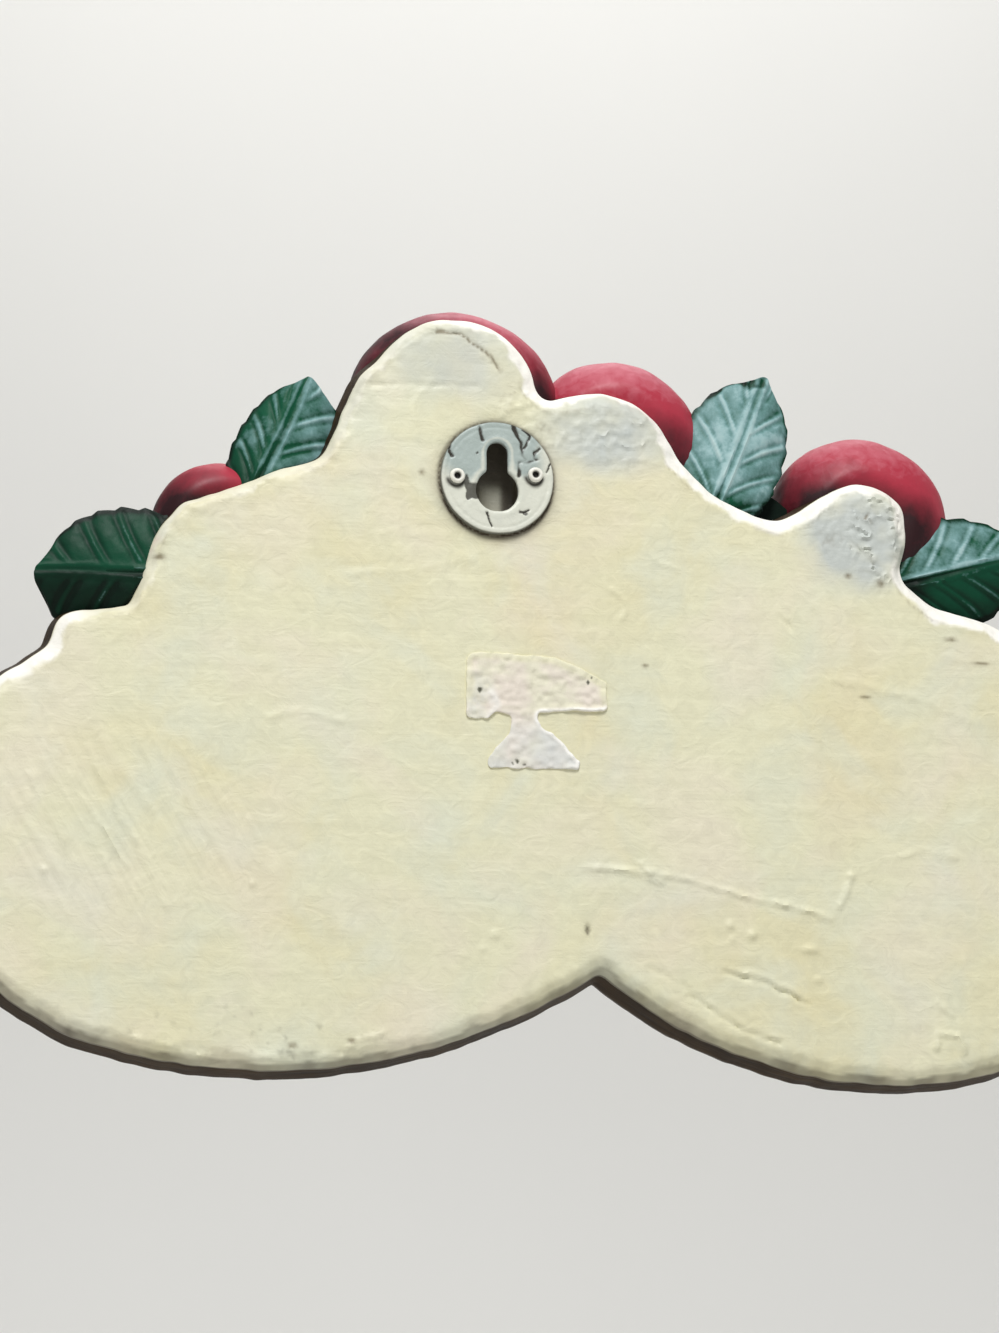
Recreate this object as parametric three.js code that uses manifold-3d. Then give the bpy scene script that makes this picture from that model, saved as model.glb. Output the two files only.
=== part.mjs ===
// Decorative wall plaque: a hand-painted casting of a scalloped board with a swag of apples and leaves
// along its top edge, hung by a round keyhole plate riveted to its flat back.
// Millimetres, +Z up as it hangs, the decorated front faces -Y and the flat back faces +Y.
// The origin is on the rear face of the keyhole plate, just above its slot.
import * as THREE from "three";
import { mergeVertices } from "three/addons/utils/BufferGeometryUtils.js";
import Module from "manifold-3d";

const wasm = await Module();
wasm.setup();

// ---------- driving dimensions ----------

const FIT_GAP = 0.3; // between a fitted piece and what it sits on or in

// Keyhole plate, a pressed disc lying on the back of the casting
const PLATE = { radius: 12.7, thickness: 1.2, z: -10.5, edgeRound: 0.35 };
const KEYHOLE = { entryRadius: 4.75, entryZ: -13.4, slotWidth: 4.7, slotTopZ: -2.5 };
const POCKET = { radius: 5.6, topZ: -4.9, depth: 7, floorRound: 0.8 }; // hollow behind the keyhole
const RIVET = { headRadius: 1.7, headHeight: 0.8, shankRadius: 0.8, shankLength: 7, holeRadius: 1.15 };
const RIVET_DIMPLE = { radius: 0.7, depth: 1 };
const RIVET_PLACES = { left: [9.1, -10.8], right: [-8.4, -9.6] };

// Board
const BACK_Y = -(PLATE.thickness + FIT_GAP); // the flat back of the casting
const BOARD_THICKNESS = 13;
const FRONT_Y = BACK_Y - BOARD_THICKNESS;
const BEVEL = { width: 3.4, depth: 2.5 }; // rounded edge of the flat back
const FLARE = 1.6; // how far the side wall spreads past the edge of the back
const FIELD = { inset: 8.5, depth: 2.4, wall: 1.6, topZ: -24 }; // sunk panel on the front
const OUTLINE_TOLERANCE = 0.18; // how far the faceted outline may leave the smooth one

// The two scallops of the bottom edge are arcs that meet at a cusp
const SCALLOPS = [
  { x: 50, z: -8.8, radius: 131.5 },
  { x: -88, z: -37.5, radius: 103.5 },
];

// Apples: centre, radius, and how far the stalk end leans to the front and turns to +X, in degrees
const STALK_RADIUS = 1.3;
const APPLE_FLATTEN = 0.8; // front-to-back depth of a cast apple over its height
const APPLES = [
  { x: 60.2, y: -13.5, z: -21.3, radius: 14.2, lean: 34, turn: 24, stalk: 7 },
  { x: 6.9, y: -17, z: 7.6, radius: 24.4, lean: 30, turn: -10, stalk: 10 },
  { x: -30.4, y: -17.6, z: 2.3, radius: 20.5, lean: 26, turn: -32, stalk: 8 },
  { x: -88, y: -18, z: -12.9, radius: 21.1, lean: 32, turn: -18, stalk: 9 },
  { x: 72, y: -23.5, z: -62, radius: 20, lean: 40, turn: 28, stalk: 8 },
  { x: 40, y: -20.5, z: -48, radius: 15, lean: 46, turn: -20, stalk: 6 },
];
const TONGUE = { x: 8.6, z: 7.4, radius: 18.8 }; // the board rises behind the big apple as a round tongue

// Leaves: root and tip as [x, z], half widths left and right of the midrib as seen from behind looking
// from root to tip, and how far behind the origin the midrib's back lies at root and tip
const LEAF = { thickness: 3.2, fold: 3.6, rib: 0.7, vein: 0.35, veins: 4, teeth: 7, toothShare: 0.08 };
const LEAVES = [
  { root: [60, -35], tip: [99.5, -34.6], left: 10.5, right: 15, y: -3.6, tipY: -7 },
  { root: [55.5, -21], tip: [41, 12], left: 8.6, right: 12.5, y: -4.4, tipY: -7 },
  { root: [-47.5, -20], tip: [-64, 18.8], left: 12.5, right: 12, y: -4.4, tipY: -8 },
  { root: [-86, -31], tip: [-128, -19], left: 13.5, right: 13.5, y: -4.6, tipY: -8 },
];
const FRONT_LEAVES = [
  { root: [-62, -8], tip: [-70, -52], left: 11, right: 11, y: -13.6, tipY: -14.5 },
  { root: [-47, -2], tip: [-40, -48], left: 11, right: 11, y: -13.6, tipY: -14.5 },
  { root: [-6, -8], tip: [-8, -50], left: 11, right: 11, y: -13.6, tipY: -14.5 },
  { root: [36, -48], tip: [13, -82], left: 11, right: 11, y: -13.6, tipY: -14.5 },
  { root: [68, -66], tip: [50, -108], left: 12, right: 12, y: -13.6, tipY: -14.5 },
  { root: [78, -64], tip: [105, -97], left: 11.5, right: 11.5, y: -13.6, tipY: -14.5 },
];

// Torn paper label on the back
const LABEL = { left: 7, right: -24.7, top: -50.2, band: -61, bottom: -75.2, thickness: 0.3, lift: 0.2 };

// ---------- solids ----------

// A closed three.js geometry as a manifold-3d solid.
function solidOf(geometry) {
  const bare = geometry.index ? geometry.toNonIndexed() : geometry.clone();
  bare.deleteAttribute("normal");
  bare.deleteAttribute("uv");
  const merged = mergeVertices(bare, 1e-4);
  return new wasm.Manifold(
    new wasm.Mesh({
      numProp: 3,
      vertProperties: merged.attributes.position.array,
      triVerts: new Uint32Array(merged.index.array),
    }),
  );
}

// A manifold-3d solid as a three.js geometry.
function geometryOf(solid) {
  const made = solid.getMesh();
  const geometry = new THREE.BufferGeometry();
  geometry.setAttribute("position", new THREE.BufferAttribute(made.vertProperties, 3));
  geometry.setIndex(new THREE.BufferAttribute(made.triVerts, 1));
  geometry.computeVertexNormals();
  return geometry;
}

const joined = (solids) => solids.reduce((sum, one) => sum.add(one));

// Closed surface over rings of equal point counts, each ring an array of Vector3, capped at both ends.
// The caps are flat or nearly so and are cut into triangles by the first two coordinates that flat() gives.
function skinRings(rings, flat) {
  const count = rings[0].length;
  const positions = rings.flat().flatMap((point) => [point.x, point.y, point.z]);
  const index = [];
  for (let ring = 0; ring < rings.length - 1; ring++)
    for (let i = 0; i < count; i++) {
      const a = ring * count + i;
      const b = ring * count + ((i + 1) % count);
      index.push(a, b, b + count, a, b + count, a + count);
    }
  const last = (rings.length - 1) * count;
  for (const [a, b, c] of THREE.ShapeUtils.triangulateShape(rings[0].map(flat), [])) index.push(a, c, b);
  for (const [a, b, c] of THREE.ShapeUtils.triangulateShape(rings.at(-1).map(flat), []))
    index.push(last + a, last + b, last + c);
  const geometry = new THREE.BufferGeometry();
  geometry.setAttribute("position", new THREE.Float32BufferAttribute(positions, 3));
  geometry.setIndex(index);
  return geometry;
}

// Points of a closed outline in the XZ plane with their outward normals, thinned where it runs straight.
function outlineOf(path, step = 0.5, rounding = 1.2) {
  const count = Math.round(path.getLength() / step);
  let points = path.getSpacedPoints(count).slice(0, count);
  if (THREE.ShapeUtils.area(points) < 0) points.reverse();
  const at = (i) => points[(i + count) % count];
  for (let pass = 0; pass < Math.round((rounding / step) ** 2 * 2); pass++)
    points = points.map((point, i) =>
      point.clone().multiplyScalar(2).add(at(i - 1)).add(at(i + 1)).divideScalar(4),
    );
  const all = points.map((point, i) => {
    const along = at(i + 2).clone().sub(at(i - 2)).normalize();
    return { point, normal: new THREE.Vector2(along.y, -along.x) };
  });
  const kept = [0];
  for (let i = 1; i < count; i++) {
    const a = all[kept.at(-1)].point;
    const chord = at(i + 1).clone().sub(a);
    const strays = points.slice(kept.at(-1) + 1, i + 1).some((point) => {
      const off = point.clone().sub(a);
      return Math.abs(chord.cross(off)) / chord.length() > OUTLINE_TOLERANCE;
    });
    if (strays) kept.push(i);
  }
  return kept.map((i) => all[i]);
}

// Closed solid from an outline and stations of [y, distance out from the outline], listed from the back.
function loft(outline, stations) {
  const rings = stations.map(([y, out]) =>
    outline.map(({ point, normal }) => {
      const moved = normal.clone().multiplyScalar(out).add(point);
      return new THREE.Vector3(moved.x, y, moved.y);
    }),
  );
  return solidOf(skinRings(rings, (point) => new THREE.Vector2(point.x, point.z)));
}

// A lathe profile of [radius, height] pairs as a solid standing on its own axis along +Z.
function turned(profile, segments) {
  const geometry = new THREE.LatheGeometry(profile.map(([r, h]) => new THREE.Vector2(r, h)), segments);
  return geometry.rotateX(Math.PI / 2);
}

// ---------- board ----------

// Angle on a scallop's circle at which its arc stands over a given x.
const scallopAngle = ({ x, radius }, atX) => -Math.acos((atX - x) / radius);

// Where the two scallop circles, both grown by the same amount, cross at the bottom.
function cusp(grow) {
  const [a, b] = SCALLOPS;
  const apart = new THREE.Vector2(b.x - a.x, b.z - a.z);
  const [ra, rb] = [a.radius + grow, b.radius + grow];
  const along = (ra ** 2 - rb ** 2 + apart.lengthSq()) / (2 * apart.length());
  const across = Math.sqrt(ra ** 2 - along ** 2);
  apart.normalize();
  const down = new THREE.Vector2(-apart.y, apart.x).multiplyScalar(across);
  return apart.multiplyScalar(along).add(down).add(new THREE.Vector2(a.x, a.z));
}

const points2 = (pairs) => pairs.map(([x, z]) => new THREE.Vector2(x, z));

function boardPath() {
  const [a, b] = SCALLOPS;
  const path = new THREE.Path();
  path.absarc(a.x, a.z, a.radius, scallopAngle(a, cusp(0).x), scallopAngle(a, 90), false);
  // round end at +X, up the slope, and the step and the steep corner under the first leaf
  path.splineThru(points2([[104.5, -125], [115.5, -111], [120.5, -92], [117, -73], [106, -58.6]]));
  path.splineThru(points2([[96.8, -52], [94, -45.6], [87.5, -43.6], [79.4, -42.8]]));
  path.splineThru(points2([[76.9, -36], [73.8, -26.5], [68.5, -19.3]]));
  // over the first apple and up beside the big one
  path.splineThru(points2([[58, -15.4], [48, -10.6], [38.4, -7.4], [34.6, 0.5], [30.2, 11.5]]));
  path.absarc(TONGUE.x, TONGUE.z, TONGUE.radius, 0.85, 2.75, false);
  // behind the second apple, down to the third leaf's foot, and over the third apple
  path.splineThru(points2([[-11.8, 8.9], [-25, 11.2], [-35.5, 6.5], [-42.6, -3.5], [-50, -11]]));
  path.splineThru(points2([[-64.3, -16.2], [-74.9, -10.1], [-84, -6.3], [-93.6, -10.2], [-94.8, -19.5]]));
  path.splineThru(points2([[-93.6, -28], [-101, -34.4]]));
  // round end at -X
  path.splineThru(points2([[-116.5, -38.5], [-127.5, -48], [-133.2, -67], [-133.9, -91]]));
  path.splineThru(points2([[-131.6, -113], [-125, -130], [-113, -137.9]]));
  path.absarc(b.x, b.z, b.radius, scallopAngle(b, -113), scallopAngle(b, cusp(0).x), false);
  path.closePath();
  return path;
}

// The sunk field on the front keeps the same distance from the scallops and the ends.
function fieldPath() {
  const [a, b] = SCALLOPS.map((scallop) => ({ ...scallop, radius: scallop.radius - FIELD.inset }));
  const corner = cusp(-FIELD.inset);
  const path = new THREE.Path();
  path.absarc(a.x, a.z, a.radius, scallopAngle(a, corner.x), scallopAngle(a, 86), false);
  path.splineThru(points2([[98, -119.5], [107.5, -106], [111, -92], [107, -76], [96, -63], [82, -55]]));
  path.splineThru(points2([[40, FIELD.topZ - 12], [0, FIELD.topZ], [-60, FIELD.topZ - 4], [-98, -43.5]]));
  path.splineThru(points2([[-112, -46.5], [-120.5, -54.5], [-124.7, -70], [-125.4, -91]]));
  path.splineThru(points2([[-122.9, -110], [-116.6, -124], [-107, -131]]));
  path.absarc(b.x, b.z, b.radius, scallopAngle(b, -107), scallopAngle(b, corner.x), false);
  path.closePath();
  return path;
}

// From the flat back over the rounded edge, down the spreading side wall and round the front rim.
const BOARD_STATIONS = [
  [BACK_Y, -BEVEL.width],
  [BACK_Y - BEVEL.depth * 0.16, -BEVEL.width * 0.55],
  [BACK_Y - BEVEL.depth * 0.5, -BEVEL.width * 0.18],
  [BACK_Y - BEVEL.depth, 0],
  [BACK_Y - BOARD_THICKNESS * 0.66, FLARE],
  [FRONT_Y + 2.4, FLARE * 0.85],
  [FRONT_Y + 0.7, -0.6],
  [FRONT_Y, -2.6],
];
const FIELD_STATIONS = [
  [FRONT_Y + FIELD.depth, 0],
  [FRONT_Y + FIELD.depth * 0.3, FIELD.wall * 0.6],
  [FRONT_Y - 1, FIELD.wall + 1],
];

// ---------- fruit ----------

const APPLE_SEGMENTS = 22;
const APPLE_ROWS = 12;
// Shares of the apple's radius: half its height, how much wider it is above than below the middle, and
// the depth of the dimples at stalk and eye, whose spread is in radians from the pole
const APPLE_FORM = { halfHeight: 0.94, shoulder: 0.05 };
const STALK_DIMPLE = { depth: 0.26, spread: 0.42 };
const EYE_DIMPLE = { depth: 0.13, spread: 0.36 };

const dimple = ({ depth, spread }, fromPole) => depth * Math.exp(-((fromPole / spread) ** 2));

function appleProfile(radius) {
  const profile = [];
  for (let row = APPLE_ROWS; row >= 0; row--) {
    const turn = (Math.PI * row) / APPLE_ROWS;
    const out = row % APPLE_ROWS ? Math.sin(turn) * (1 + APPLE_FORM.shoulder * Math.cos(turn)) : 0;
    const dip = dimple(STALK_DIMPLE, turn) - dimple(EYE_DIMPLE, Math.PI - turn);
    profile.push([radius * out, radius * (APPLE_FORM.halfHeight * Math.cos(turn) - dip)]);
  }
  return profile;
}

// Stalk rising out of the dimple and bending over, as a tube.
function stalkGeometry(radius, length) {
  const foot = radius * (APPLE_FORM.halfHeight - STALK_DIMPLE.depth - 0.08);
  const curve = new THREE.QuadraticBezierCurve3(
    new THREE.Vector3(0, 0, foot),
    new THREE.Vector3(0, 0, foot + length * 0.6),
    new THREE.Vector3(length * 0.35, 0, foot + length),
  );
  const section = new THREE.Shape().absarc(0, 0, STALK_RADIUS, 0, 2 * Math.PI, false);
  const options = { extrudePath: curve, steps: 3, curveSegments: 3, bevelEnabled: false };
  return new THREE.ExtrudeGeometry(section, options);
}

function appleSolid({ x, y, z, radius, lean, turn, stalk }) {
  const place = (geometry) =>
    solidOf(
      geometry
        .rotateX(THREE.MathUtils.degToRad(lean))
        .rotateY(THREE.MathUtils.degToRad(turn))
        .scale(1, APPLE_FLATTEN, 1)
        .translate(x, y, z),
    );
  return place(turned(appleProfile(radius), APPLE_SEGMENTS)).add(place(stalkGeometry(radius, stalk)));
}

// ---------- leaves ----------

const LEAF_ACROSS = [1, 0.55, 0.12, 0, -0.12, -0.55, -1]; // shares of the half width, one edge to the other
const LEAF_BEDDED_Y = FRONT_Y + FIELD.depth + 0.6; // leaves on the front reach this deep into the board

// Half width of a leaf blade over its greatest, from the root at 0 to the tip at 1.
const bladeWidth = (share) => (Math.sqrt(share + 0.02) * (1 - share * 0.985) ** 0.72) / 0.445;

// One leaf: folded along its midrib, with toothed edges and side veins. A bedded leaf is filled down to
// the board under it.
function leafSolid({ root, tip, left, right, y, tipY }, bedded) {
  const along = new THREE.Vector2(tip[0] - root[0], tip[1] - root[1]);
  const rows = 2 * LEAF.teeth;
  const rings = [];
  for (let row = 0; row <= rows; row++) {
    const tooth = row % 2;
    const share = (row + 0.5 * tooth) / (rows + 0.5);
    const blade = bladeWidth(share);
    const reach = blade * (1 + LEAF.toothShare * (tooth - 0.5));
    const spine = y + (tipY - y) * share ** 2;
    const back = (t) => {
      const rib = t === 0 ? LEAF.rib * (1 - share) : 0;
      const vein = Math.abs(t) === 0.55 ? LEAF.vein * Math.cos(2 * Math.PI * LEAF.veins * share) : 0;
      return spine - LEAF.fold * blade * Math.abs(t) ** 1.5 + rib + vein;
    };
    const front = (t) => back(t) - LEAF.thickness * (1 - 0.6 * t ** 2) + (t === 0 ? 0.4 : 0);
    const point = (t, height) => {
      const forward = along.length() * (share + 0.06 * Math.abs(t) * blade * (1 - share));
      return new THREE.Vector3(reach * t * (t > 0 ? left : right), height, forward);
    };
    const backPoints = bedded
      ? [1, 0, -1].map((t) => point(t, LEAF_BEDDED_Y))
      : LEAF_ACROSS.map((t) => point(t, back(t)));
    const frontPoints = [...LEAF_ACROSS].reverse().map((t) => point(t, front(t)));
    rings.push([...backPoints, ...frontPoints]);
  }
  const geometry = skinRings(rings, (point) => new THREE.Vector2(point.x, point.y));
  return solidOf(geometry.rotateY(Math.atan2(along.x, along.y)).translate(root[0], 0, root[1]));
}

// ---------- casting ----------

const pocketSolid = () => {
  const path = new THREE.Path();
  path.absarc(0, POCKET.topZ, POCKET.radius, 0, Math.PI, false);
  path.absarc(0, KEYHOLE.entryZ, POCKET.radius, Math.PI, 2 * Math.PI, false);
  path.closePath();
  const floor = BACK_Y - POCKET.depth;
  return loft(outlineOf(path, 0.4, 0.2), [
    [BACK_Y + 1, 0],
    [floor + POCKET.floorRound, 0],
    [floor, -POCKET.floorRound],
  ]);
};

const rivetHole = ([x, z]) => {
  const { holeRadius, shankLength } = RIVET;
  return solidOf(new THREE.CylinderGeometry(holeRadius, holeRadius, 2 * shankLength, 12).translate(x, BACK_Y, z));
};

function castingSolid() {
  const board = loft(outlineOf(boardPath()), BOARD_STATIONS).subtract(
    loft(outlineOf(fieldPath(), 0.5, 2), FIELD_STATIONS),
  );
  const swag = [
    ...LEAVES.map((leaf) => leafSolid(leaf, false)),
    ...FRONT_LEAVES.map((leaf) => leafSolid(leaf, true)),
    ...APPLES.map(appleSolid),
  ];
  const behind = solidOf(new THREE.BoxGeometry(400, 40, 400).translate(0, BACK_Y + 20, 0));
  const holes = [pocketSolid(), ...Object.values(RIVET_PLACES).map(rivetHole)];
  return joined([board, ...swag]).subtract(joined([behind, ...holes]));
}

// ---------- keyhole plate, rivets and label ----------

function plateSolid() {
  const rim = new THREE.Path().absarc(0, PLATE.z, PLATE.radius, 0, 2 * Math.PI, false);
  const { thickness, edgeRound } = PLATE;
  const disc = loft(outlineOf(rim, 0.4, 0), [[0, -edgeRound], [-edgeRound, 0], [-thickness, 0]]);
  const { entryRadius, entryZ, slotWidth, slotTopZ } = KEYHOLE;
  const half = slotWidth / 2;
  const meet = Math.acos(half / entryRadius);
  const hole = new THREE.Path();
  hole.absarc(0, slotTopZ - half, half, 0, Math.PI, false);
  hole.absarc(0, entryZ, entryRadius, Math.PI - meet, 2 * Math.PI + meet, false);
  hole.closePath();
  const holes = Object.values(RIVET_PLACES).map(rivetHole);
  return disc.subtract(joined([loft(outlineOf(hole, 0.3, 0.1), [[1, 0], [-thickness - 1, 0]]), ...holes]));
}

// A rivet stands on its shank's end, with a domed head that has a dimple in its middle.
const rivetGeometry = () => {
  const { headRadius, headHeight, shankRadius, shankLength } = RIVET;
  const profile = [
    [0, -shankLength],
    [shankRadius, -shankLength],
    [shankRadius, 0],
    [headRadius, 0],
    [headRadius * 0.94, headHeight * 0.5],
    [headRadius * 0.7, headHeight],
    [RIVET_DIMPLE.radius, headHeight * 0.8],
    [RIVET_DIMPLE.radius * 0.7, headHeight - RIVET_DIMPLE.depth],
    [0, headHeight - RIVET_DIMPLE.depth],
  ];
  return turned(profile, 12).rotateX(-Math.PI / 2);
};

function labelGeometry() {
  const { left, right, top, band, bottom, thickness, lift } = LABEL;
  const path = new THREE.Path();
  path.moveTo(right, top + 1);
  path.lineTo(right - 0.2, band + 3);
  path.splineThru(points2([[-18, band + 1.5], [-8, band], [-10.5, band - 5], [-19, bottom + 4]]));
  path.lineTo(-18.6, bottom);
  path.lineTo(2, bottom + 0.2);
  path.splineThru(points2([[-1.5, band - 6], [-3, band], [1, band + 3], [left, band + 1]]));
  path.lineTo(left, top - 4);
  path.quadraticCurveTo(left, top, left - 4, top);
  path.closePath();
  const y = BACK_Y + lift;
  return loft(outlineOf(path, 0.4, 0.3), [[y + thickness, 0], [y, 0]]);
}

// ---------- scene graph ----------

const finish = (color, roughness, metalness) => new THREE.MeshStandardMaterial({ color, roughness, metalness });
const FINISHES = {
  casting: finish("#ddd8bc", 0.6, 0),
  plate: finish("#d0d4cd", 0.45, 0.2),
  rivet: finish("#b9b7ab", 0.4, 0.6),
  label: finish("#dfdbd0", 0.9, 0),
};

const named = (name, geometry, material) => {
  const mesh = new THREE.Mesh(geometry, material);
  mesh.name = name;
  return mesh;
};

const plaque = new THREE.Group();
plaque.add(named("plaque_casting", geometryOf(castingSolid()), FINISHES.casting));

const hanger = new THREE.Group();
hanger.add(named("hanger_plate", geometryOf(plateSolid()), FINISHES.plate));
for (const [side, [x, z]] of Object.entries(RIVET_PLACES)) {
  const rivet = named("hanger_rivet_" + side, rivetGeometry(), FINISHES.rivet);
  rivet.position.set(x, FIT_GAP, z);
  hanger.add(rivet);
}
plaque.add(hanger);
plaque.add(named("label_remnant", geometryOf(labelGeometry()), FINISHES.label));

export default plaque;
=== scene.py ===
"""Decorative wall plaque: a hand-painted casting with a swag of apples and leaves, seen from its flat back.

Sizes are in millimetres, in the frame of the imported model: +Z up as the plaque hangs, +Y out of its back.
"""

import logging
import math
from dataclasses import dataclass, field
from enum import Enum
from itertools import product
from typing import Any, ClassVar, Sequence

import bmesh
import bpy
import numpy as np
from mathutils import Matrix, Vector
from mathutils.geometry import delaunay_2d_cdt
from mathutils.kdtree import KDTree


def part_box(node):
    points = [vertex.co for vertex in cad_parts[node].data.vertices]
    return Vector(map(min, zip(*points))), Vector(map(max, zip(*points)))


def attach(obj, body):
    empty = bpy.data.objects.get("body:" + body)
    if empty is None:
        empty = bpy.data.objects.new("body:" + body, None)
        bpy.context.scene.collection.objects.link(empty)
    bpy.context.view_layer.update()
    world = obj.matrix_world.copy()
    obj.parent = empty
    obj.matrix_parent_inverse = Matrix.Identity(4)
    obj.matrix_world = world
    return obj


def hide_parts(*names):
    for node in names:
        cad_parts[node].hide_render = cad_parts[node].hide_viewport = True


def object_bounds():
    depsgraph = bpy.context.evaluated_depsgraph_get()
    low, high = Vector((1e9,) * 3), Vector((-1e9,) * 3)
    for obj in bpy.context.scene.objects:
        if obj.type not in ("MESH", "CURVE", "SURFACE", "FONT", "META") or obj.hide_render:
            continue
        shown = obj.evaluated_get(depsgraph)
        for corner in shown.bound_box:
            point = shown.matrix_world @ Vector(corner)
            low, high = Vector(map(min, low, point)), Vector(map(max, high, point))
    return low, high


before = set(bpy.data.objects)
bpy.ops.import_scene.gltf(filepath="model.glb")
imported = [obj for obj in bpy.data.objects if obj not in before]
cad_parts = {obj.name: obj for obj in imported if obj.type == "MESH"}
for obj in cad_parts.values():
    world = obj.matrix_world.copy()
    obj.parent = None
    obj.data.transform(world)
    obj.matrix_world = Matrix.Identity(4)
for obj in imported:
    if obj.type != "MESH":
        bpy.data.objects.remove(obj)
CAD_BOX = [list(corner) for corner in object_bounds()]

LOG = logging.getLogger("plaque")
MM = 0.001
BODY = "root"
Array = np.ndarray
Tree = bpy.types.NodeTree
Socket = bpy.types.NodeSocket
Pairs = Sequence[tuple[float, float]]
Spot = tuple[tuple[float, float], tuple[float, float]]  # a soft oval's middle, then its half sizes


class Slot(str, Enum):
    """Material slots of the record, one named on each finish."""

    CREAM = "cream_paint"
    UMBER = "umber_paint"
    RED = "apple_red"
    GREEN = "leaf_green"
    STALK = "stalk_brown"
    PLATE = "painted_steel"
    RIVET = "rivet_steel"
    LABEL = "label_paper"


# ---------- small tools ----------


def corners(node: str) -> tuple[Array, Array]:
    """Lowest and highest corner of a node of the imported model, in millimetres."""
    low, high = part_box(node)
    return np.array(low) / MM, np.array(high) / MM


def middle(node: str) -> tuple[Array, float]:
    """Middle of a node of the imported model, in x and z, and half its width."""
    low, high = corners(node)
    return (low + high)[[0, 2]] / 2, float(high[0] - low[0]) / 2


def srgb(code: str) -> tuple[float, float, float, float]:
    """Turns a colour to linear.

    Args:
        code: Its sRGB hex value, such as #E1DEBF.

    Returns:
        The linear colour, opaque.
    """
    channels = [int(code[i : i + 2], 16) / 255 for i in (1, 3, 5)]
    linear = [c / 12.92 if c <= 0.04045 else ((c + 0.055) / 1.055) ** 2.4 for c in channels]
    return (*linear, 1.0)


def pitch(size: float) -> float:
    """Texture scale, in cells per metre, at which a cell measures the given size in millimetres."""
    return 1.0 / (size * MM)


def step_between(value: Array, low: float, high: float) -> Array:
    """Smooth rise from 0 at low to 1 at high."""
    share = np.clip((value - low) / (high - low), 0, 1)
    return share * share * (3 - 2 * share)


def bell(value: Array, width: float) -> Array:
    """Bell curve: 1 where the value is 0, falling off past the width."""
    return np.exp(-((value / width) ** 2))


def noise(points: Array, size: float | Sequence[float], seed: int) -> Array:
    """Smooth random values from -1 to 1, the same in every run.

    Args:
        points: One row for each place, in two or three dimensions.
        size: Width of one cell of the pattern, or one width for each dimension.
        seed: Picks the pattern.

    Returns:
        One value for each row.
    """
    cell = points / np.asarray(size, float)
    base = np.floor(cell).astype(np.int64)
    part = cell - base
    part = part * part * (3 - 2 * part)
    primes = np.array([73856093, 19349663, 83492791][: points.shape[1]])
    total = np.zeros(len(points))
    for corner in product((0, 1), repeat=points.shape[1]):
        key = ((base + corner) * primes).sum(axis=1) + seed * 2654435761
        key = ((key ^ (key >> 13)) * 1274126177) & 0x7FFFFFFF
        key = ((key ^ (key >> 15)) * 668265263) & 0x7FFFFFFF
        weight = np.where(corner, part, 1 - part).prod(axis=1)
        total += weight * ((key >> 8 & 0xFFFF) / 32767.5 - 1)
    return total


def rough(points: Array, size: float, seed: int, octaves: int = 3) -> Array:
    """Noise with finer noise on it, each octave half as wide and half as strong."""
    layers = [noise(points, size / 2**i, seed + i) / 2**i for i in range(octaves)]
    return sum(layers) / 1.6


def away(points: Array, line: Pairs) -> Array:
    """Measures how far points lie from a line.

    Args:
        points: One row for each place, as x and z.
        line: The points that the line's straight stretches run between.

    Returns:
        The distance of each point.
    """
    ends = np.array(line, float)
    nearest = np.full(len(points), 1e9)
    for a, b in zip(ends[:-1], ends[1:]):
        along = b - a
        share = np.clip(((points - a) @ along) / (along @ along), 0, 1)
        nearest = np.minimum(nearest, np.linalg.norm(points - a - share[:, None] * along, axis=1))
    return nearest


def patch(points: Array, centre: tuple[float, float], size: tuple[float, float]) -> Array:
    """Soft oval spot: 1 in its middle, 0 past its size, which is half its width and half its height."""
    off = np.linalg.norm((points - centre) / np.array(size), axis=1)
    return 1 - step_between(off, 0.45, 1.1)


# ---------- outlines and skins ----------


@dataclass(frozen=True)
class Loop:
    """A closed outline with evenly spaced points, anticlockwise in x and z."""

    points: Array
    normals: Array
    step: float

    def grown(self, out: float | Array) -> Array:
        """The points moved outwards, one distance for all or one for each."""
        return self.points + self.normals * np.reshape(out, (-1, 1))

    def moved(self, out: float | Array) -> "Loop":
        """The loop with its points moved outwards."""
        return Loop(self.grown(out), self.normals, self.step)

    def nearest(self, points: Array) -> Array:
        """Finds the loop's point that is nearest to each of the given points.

        Args:
            points: One row for each place, as x and z.

        Returns:
            The number of the loop's point, for each row.
        """
        tree = KDTree(len(self.points))
        for i, (x, z) in enumerate(self.points):
            tree.insert((x, z, 0), i)
        tree.balance()
        return np.array([tree.find((x, z, 0))[1] for x, z in points])


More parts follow.
